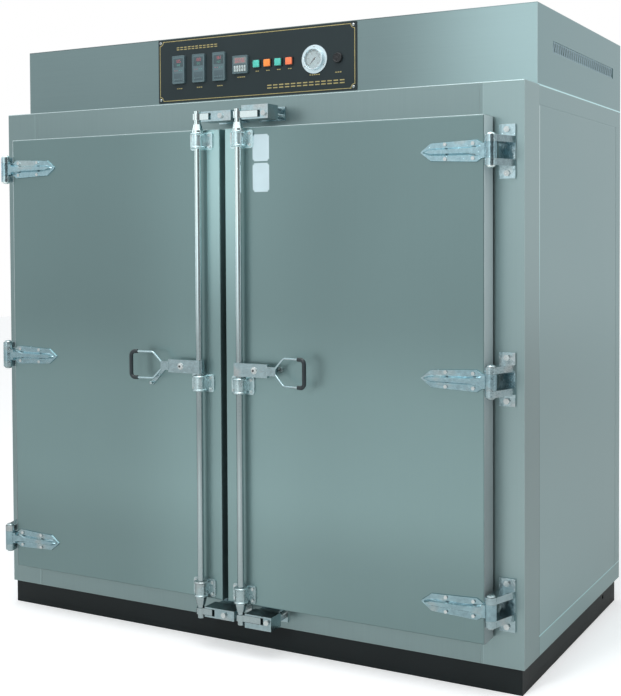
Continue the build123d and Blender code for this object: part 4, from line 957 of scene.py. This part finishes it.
def dressController(k, setup):
    bm = bmesh.new()
    x, z, face = setup["x"][k], setup["z"], setup["face"]
    halfX, halfZ = setup["half"]
    addRim(bm, (x - halfX, x + halfX), (z - halfZ, z + halfZ), face, *setup["rim"], 0.003, 0)
    half, low, high = setup["window"]
    glass = face - setup["glass"]
    addBlock(bm, (x - half, x + half), (glass, face + 0.0002), (z + low, z + high), 0.0003, 1)
    for row, paint in (("top", 2), ("low", 3)):
        rise, height, gap = setup[row + "Digits"]
        addDigits(bm, setup[row + "Text"][k], x, z + rise, glass, height, gap, paint)
    plateLow, plateHigh = setup["plateZ"]
    addBlock(bm, (x - half, x + half), (face - 0.0003, face + 0.0002), (z + plateLow, z + plateHigh), 0.0002, 4)
    for shift in setup["keys"]:
        addTurned(
            bm, (x + shift, face - 0.0003, z + setup["keyZ"]),
            ((0, 0), (0.0034, 0), (0.0034, 0.0008), (0.0028, 0.0013), (0, 0.0014)), steps=20, paint=0,
        )
        addTurned(
            bm, (x + shift, face, z + setup["lampZ"]),
            ((0, 0), (0.0014, 0), (0.0012, 0.0005), (0, 0.0008)), steps=14, paint=2 if shift < 0 else 3,
        )
    closePiece(
        "controllerFace_%d" % (k + 1), bm,
        ("instrumentGrey", "displayGlass", "redDigits", "greenDigits", "keypadGrey"), "cabinet",
    )


for k in range(3):
    dressController(k, controller)

timer = {
    "x": -0.047, "z": 1.910, "face": -0.3845, "half": 0.0298, "rim": (0.0022, 0.0012), "glass": 0.0006,
    "display": (0.024, 0.0030, 0.0240), "text": "0056", "digits": (0.0125, 0.0024), "set": "02460",
    "wheels": 5, "wheelPitch": 0.0096, "wheelWidth": 0.0072, "wheelZ": (-0.0245, -0.0020), "wheelProud": 0.0016,
    "wheelInset": 0.0012, "wheelDigit": 0.0062,
}


def dressTimer(setup):
    bm = bmesh.new()
    x, z, face, half = setup["x"], setup["z"], setup["face"], setup["half"]
    addRim(bm, (x - half, x + half), (z - half, z + half), face, *setup["rim"], 0.003, 0)
    wide, low, high = setup["display"]
    glass = face - setup["glass"]
    addBlock(bm, (x - wide, x + wide), (glass, face + 0.0002), (z + low, z + high), 0.0003, 1)
    addDigits(bm, setup["text"], x, z + (low + high) / 2, glass, *setup["digits"], 2)
    low, high = setup["wheelZ"]
    addBlock(bm, (x - wide, x + wide), (face - 0.0003, face + 0.0002), (z + low, z + high), 0.0001, 3)
    reach, inset, crest = setup["wheelWidth"] / 2, setup["wheelInset"], face - setup["wheelProud"]
    for k in range(setup["wheels"]):
        middle = x + (k - (setup["wheels"] - 1) / 2) * setup["wheelPitch"]
        addBlock(bm, (middle - reach, middle + reach), (crest, face), (z + low + inset, z + high - inset), 0.0007, 4)
        addDigits(bm, setup["set"][k], middle, z + (low + high) / 2, crest, setup["wheelDigit"], 0, 3)
    closePiece(
        "timerFace", bm, ("instrumentGrey", "timerWindow", "redDigits", "moulding", "wheelWhite"),
        "cabinet",
    )


dressTimer(timer)


# Push button lenses: a soft pillow on each cap
buttonLens = {
    "x": (0.016, 0.0575, 0.099, 0.1405), "z": 1.908, "face": -0.3859, "half": 0.0100, "rise": 0.0014, "steps": 8,
    "paints": ("greenLens", "orangeLens", "greenLens", "redLens"),
    "slots": ("green_plastic", "orange_plastic", "green_plastic", "red_plastic"),
}


def dressButton(k, setup):
    bm = bmesh.new()
    steps, half = setup["steps"], setup["half"]
    x, z, face = setup["x"][k], setup["z"], setup["face"]
    spots = [-1 + 2 * i / steps for i in range(steps + 1)]
    grid = [
        [
            bm.verts.new((x + u * half, face - setup["rise"] * (1 - u ** 4) * (1 - v ** 4), z + v * half))
            for u in spots
        ]
        for v in spots
    ]
    for lower, upper in zip(grid, grid[1:]):
        for i in range(steps):
            bm.faces.new((lower[i], lower[i + 1], upper[i + 1], upper[i]))
    rim = grid[0] + [row[-1] for row in grid[1:]] + grid[-1][-2::-1] + [row[0] for row in grid[-2:0:-1]]
    sunk = [bm.verts.new((vert.co.x, face + 0.0005, vert.co.z)) for vert in rim]
    for i in range(len(rim)):
        n = (i + 1) % len(rim)
        bm.faces.new((rim[i], rim[n], sunk[n], sunk[i]))
    bm.faces.new(sunk)
    closePiece("buttonLens_%d" % (k + 1), bm, (setup["paints"][k],), "button_%d" % (k + 1))


for k in range(4):
    dressButton(k, buttonLens)


# Gauge: dial card with ticks and numbers, bezel bead, flange screws
gauge = {
    "x": 0.233, "z": 1.907, "dialY": -0.3795, "bezelY": -0.3905, "flangeY": -0.3795, "dialRadius": 0.0306,
    "bezel": (0.0312, 0.0349), "start": 225, "sweep": 270, "numbers": ("0", "2", "4", "6", "8", "10"),
    "numberRadius": 0.0195, "numberHeight": 0.0042, "tickRadius": 0.0272, "tickReach": 0.0026,
    "ticks": ((11, 0.0026, 0.0006), (51, 0.0013, 0.00025)),  # count, half length, half width
    "screws": 3, "screwRadius": 0.0405,
}


def screwCrown(bm):
    addTurned(bm, (0, 0, 0), ((0, 0), (0.0028, 0), (0.0027, 0.0005), (0.0019, 0.0010), (0, 0.0012)), steps=18)


# dark cross bars on a screw crown: painted shade standing in for the cross recess
def crossRecessShade(bm):
    for x, z in ((0.0017, 0.0004), (0.0004, 0.0017)):
        addBlock(bm, (-x, x), (-0.0013, -0.0008), (-z, z))


def ringValues(setup, count, radius, y, first, turn):
    return {
        "Count": count, "Centre": (setup["x"], y, setup["z"]), "Radius": radius,
        "First": math.radians(first), "Turn": math.radians(turn),
    }


def dressGauge(setup):
    y, last = setup["dialY"], len(setup["numbers"]) - 1
    radius = setup["dialRadius"]
    disc = ((0, -0.0002), (radius, -0.0002), (radius, 0.0002), (0, 0.0002))
    card = seedMesh("dialCard", lambda bm: addTurned(bm, (setup["x"], y, setup["z"]), disc, steps=64))
    parts = [(card, 0)]
    for count, reach, width in setup["ticks"]:
        tick = ((-reach, reach), (-0.0004, -0.0001), (-width, width))
        seed = seedMesh("tick", lambda bm, tick=tick: addBlock(bm, *tick))
        tickRadius = setup["tickRadius"] + setup["tickReach"] - reach
        values = ringValues(setup, count, tickRadius, y, setup["start"], -setup["sweep"] / (count - 1))
        parts.append((growMesh("ticks", seed, ringTree, values, "pointerBlack"), 1))
    for k, label in enumerate(setup["numbers"]):
        angle = math.radians(setup["start"] - setup["sweep"] * k / last)
        spot = (
            setup["x"] + setup["numberRadius"] * math.cos(angle), y - 0.0002,
            setup["z"] + setup["numberRadius"] * math.sin(angle),
        )
        parts.append((textMesh(label, setup["numberHeight"], spot), 1))
    mergeMeshes("gaugeDial", parts, ("dialPaper", "pointerBlack"), "cabinet")
    ring = bmesh.new()
    inner, outer = setup["bezel"]
    middle = (inner + outer) / 2
    profile = (
        (inner, -0.0004), (inner, 0.0006), (inner + 0.0006, 0.0013), (middle, 0.0016), (outer - 0.0006, 0.0013),
        (outer, 0.0006), (outer, -0.0004),
    )
    addTurned(ring, (setup["x"], setup["bezelY"], setup["z"]), profile, steps=72, closed=True)
    closePiece("gaugeBezelBead", ring, ("gaugeWhite",), "cabinet")
    values = ringValues(setup, setup["screws"], setup["screwRadius"], setup["flangeY"], 90, 120)
    parts = [
        (growMesh("crowns", seedMesh("crown", screwCrown), ringTree, values, "zincBolt"), 0),
        (growMesh("crosses", seedMesh("cross", crossRecessShade), ringTree, values, "moulding"), 1),
    ]
    mergeMeshes("gaugeScrews", parts, ("zincBolt", "moulding"), "cabinet")


dressGauge(gauge)


# Crowns on the panel's corner screws, with dark crosses that are painted shade of their cross recesses
panelScrew = {"x": 0.374, "y": -0.3786, "z": (1.810, 2.006), "scale": 1.5}


def dressPanelScrews(setup):
    parts = []
    for build, paint, index in ((screwCrown, "zincBolt", 0), (crossRecessShade, "moulding", 1)):
        for z in setup["z"]:
            seed = seedMesh("panelScrew", build)
            seed.transform(Matrix.Scale(setup["scale"], 4))
            values = {"Count": 2, "Start": (-setup["x"], setup["y"], z), "Step": (2 * setup["x"], 0, 0)}
            parts.append((growMesh("panelScrews", seed, rowTree, values, paint), index))
    mergeMeshes("panelScrewCrowns", parts, ("zincBolt", "moulding"), "cabinet")


dressPanelScrews(panelScrew)


# Buzzer grille
buzzerGrille = {"x": 0.319, "z": 1.905, "face": -0.3855, "rim": (0.0120, 0.0152), "ribs": 10, "ribRadius": 0.0080}


def dressBuzzer(setup):
    inner, outer = setup["rim"]
    place = (setup["x"], setup["face"], setup["z"])
    rim = (
        (inner, -0.0003), (inner, 0.0010), (inner + 0.0008, 0.0016), (outer - 0.0010, 0.0016), (outer, 0.0004),
        (outer, -0.0003),
    )
    boss = ((0, -0.0003), (0.0042, -0.0003), (0.0042, 0.0009), (0.0030, 0.0016), (0, 0.0018))
    bm = bmesh.new()
    addTurned(bm, place, rim, steps=48, closed=True)
    addTurned(bm, place, boss, steps=28)
    centre = closeMesh("buzzerCentre", bm)
    rib = seedMesh("rib", lambda bm: addBlock(bm, (-0.0045, 0.0045), (-0.0012, 0.0003), (-0.0007, 0.0007), 0.0002))
    values = ringValues(setup, setup["ribs"], setup["ribRadius"], setup["face"], 0, 360 / setup["ribs"])
    ribs = growMesh("ribs", rib, ringTree, values, "moulding")
    mergeMeshes("buzzerGrille", [(centre, 0), (ribs, 0)], ("moulding",), "cabinet")


dressBuzzer(buzzerGrille)
print("panel dressed")


# Handle bolts: washers with domed hexagon heads over the plates' studs, each head topped by a dark cap that is painted
# shade of a recess
handleBolt = {"x": 0.139, "z": 0.918, "face": -0.6105, "washer": 0.0112, "crown": 0.0082}


def dressHandleBolt(side, label, setup):
    bm = bmesh.new()
    place = (side * setup["x"], setup["face"], setup["z"])
    washer, crown = setup["washer"], setup["crown"]
    ring = ((0, -0.0003), (washer, -0.0003), (washer, 0.0009), (washer - 0.0005, 0.0013), (0, 0.0013))
    hexagon = crown + 0.0013
    head = ((0, 0.0010), (hexagon, 0.0010), (hexagon, 0.0046), (crown - 0.0004, 0.0058), (0, 0.0062))
    # dark cap on the head: painted shade standing in for a recess
    recessShadeCap = ((0, 0.0056), (0.0036, 0.0056), (0.0034, 0.0067), (0, 0.0068))
    for profile, steps, paint in ((ring, 40, 0), (head, 6, 0), (recessShadeCap, 24, 1)):
        addTurned(bm, place, profile, steps=steps, paint=paint)
    closePiece("handleBolt_" + label, bm, ("zincBolt", "moulding"), "rod_" + label)


# Folded outer edges of the doors in a lighter steel, a painted highlight with painted shade towards the bottom, and a
# bead along their top fronts, a painted highlight too
doorFold = {
    "x": (0.8828, 0.8834), "y": (-0.5690, -0.5005), "z": (0.1636, 1.6784), "beadX": (0.0115, 0.8822),
    "beadY": -0.5688, "beadZ": 1.6784, "beadRadius": 0.0013,
}


def foldDoor(side, label, setup):
    bm = bmesh.new()
    x = sorted(side * edge for edge in setup["x"])
    addBlock(bm, x, setup["y"], setup["z"], 0.0002)
    closePiece("doorEdgeSheen_" + label, bm, ("edgeSteel",), "door_" + label)
    ends = [(side * reach, setup["beadY"], setup["beadZ"]) for reach in setup["beadX"]]
    growPiece(
        "doorTopBead_" + label, pathMesh("beadPath", ends), sweepTree, {"Radius": setup["beadRadius"]},
        "foldSteel", "door_" + label,
    )


# Blank cards on the right door
doorCard = {
    "x": (0.1150, 0.1750), "z": ((1.572, 1.656), (1.476, 1.566)), "face": -0.5695, "proud": 0.0007, "notch": 0.006,
}


def stickCards(setup):
    bm = bmesh.new()
    for low, high in setup["z"]:
        path, _ = notchedLoop(setup["x"], (low, high), 0, setup["notch"])
        addPlate(bm, [(p.x, p.z) for p in path], (setup["face"] + 0.0003, setup["face"] - setup["proud"]))
    closePiece("doorCards", bm, ("cardVinyl",), "door_right")


stickCards(doorCard)


# Door seals: a two-lobed silicone section round each door, and the liner's rivets
seal = {
    "x": (0.003, 0.872), "z": (0.176, 1.666), "back": -0.4975, "front": -0.4898, "width": 0.024, "corner": 0.022,
    "lobes": ((0, 0), (0, 0.30), (0.05, 0.72), (0.16, 0.97), (0.27, 1.0), (0.38, 0.80), (0.44, 0.45), (0.50, 0.32),
              (0.56, 0.45), (0.62, 0.80), (0.73, 1.0), (0.84, 0.97), (0.95, 0.72), (1, 0.30), (1, 0)),
}
linerRivet = {
    "radius": 0.0042, "rise": 0.0018, "face": -0.4976, "x": (0.052, 0.823), "z": (0.232, 1.610), "across": 7, "up": 12,
}


def sealDoor(side, label, setup):
    bm = bmesh.new()
    x = sorted(side * edge for edge in setup["x"])
    path, outward = roundedLoop(x, setup["z"], setup["back"], setup["corner"], steps=8)
    depth = setup["front"] - setup["back"]
    section = [(-setup["width"] * across, depth * rise) for across, rise in setup["lobes"]]
    addSweep(bm, path, outward, section)
    hidden = ("door_gasket_" + label,)
    closePiece("sealRing_" + label, bm, ("gasketSilicone",), "door_" + label, hidden)


def backRivet(bm, setup):
    radius, rise = setup["radius"], setup["rise"]
    profile = ((0, 0.0004), (radius, 0.0004), (radius * 0.9, -rise * 0.45), (radius * 0.55, -rise * 0.9), (0, -rise))
    addTurned(bm, (0, 0, 0), profile, steps=14)


def rivetFrame(name, setup, x, z, paint, body):
    parts = []
    seed = seedMesh("rivet", lambda bm: backRivet(bm, setup))
    acrossStep = (x[1] - x[0]) / (setup["across"] - 1)
    upStep = (z[1] - z[0]) / (setup["up"] + 1)
    for edge in z:
        values = {"Count": setup["across"], "Start": (x[0], setup["face"], edge), "Step": (acrossStep, 0, 0)}
        parts.append((growMesh("rivets", seed.copy(), rowTree, values, paint), 0))
    for edge in x:
        values = {"Count": setup["up"], "Start": (edge, setup["face"], z[0] + upStep), "Step": (0, 0, upStep)}
        parts.append((growMesh("rivets", seed.copy(), rowTree, values, paint), 0))
    mergeMeshes(name, parts, (paint,), body)


for side, label in ((-1, "left"), (1, "right")):
    foldDoor(side, label, doorFold)
    dressHandleBolt(side, label, handleBolt)
    sealDoor(side, label, seal)
    span = sorted(side * edge for edge in linerRivet["x"])
    rivetFrame("linerRivets_" + label, linerRivet, span, linerRivet["z"], "zincBolt", "door_" + label)
print("doors dressed")


# Rivets round the back panels of the cabinet and the header
panelRivet = {"radius": 0.0048, "rise": 0.0020, "face": 0.5804, "across": 11}
backPanels = (("backRivets", 9, (0.100, 1.760)), ("headerRivets", 1, (1.802, 1.998)))  # name, rows up, Z
for name, up, z in backPanels:
    rivetFrame(name, {**panelRivet, "up": up}, (-0.955, 0.955), z, "zincBolt", "cabinet")
print("back dressed")
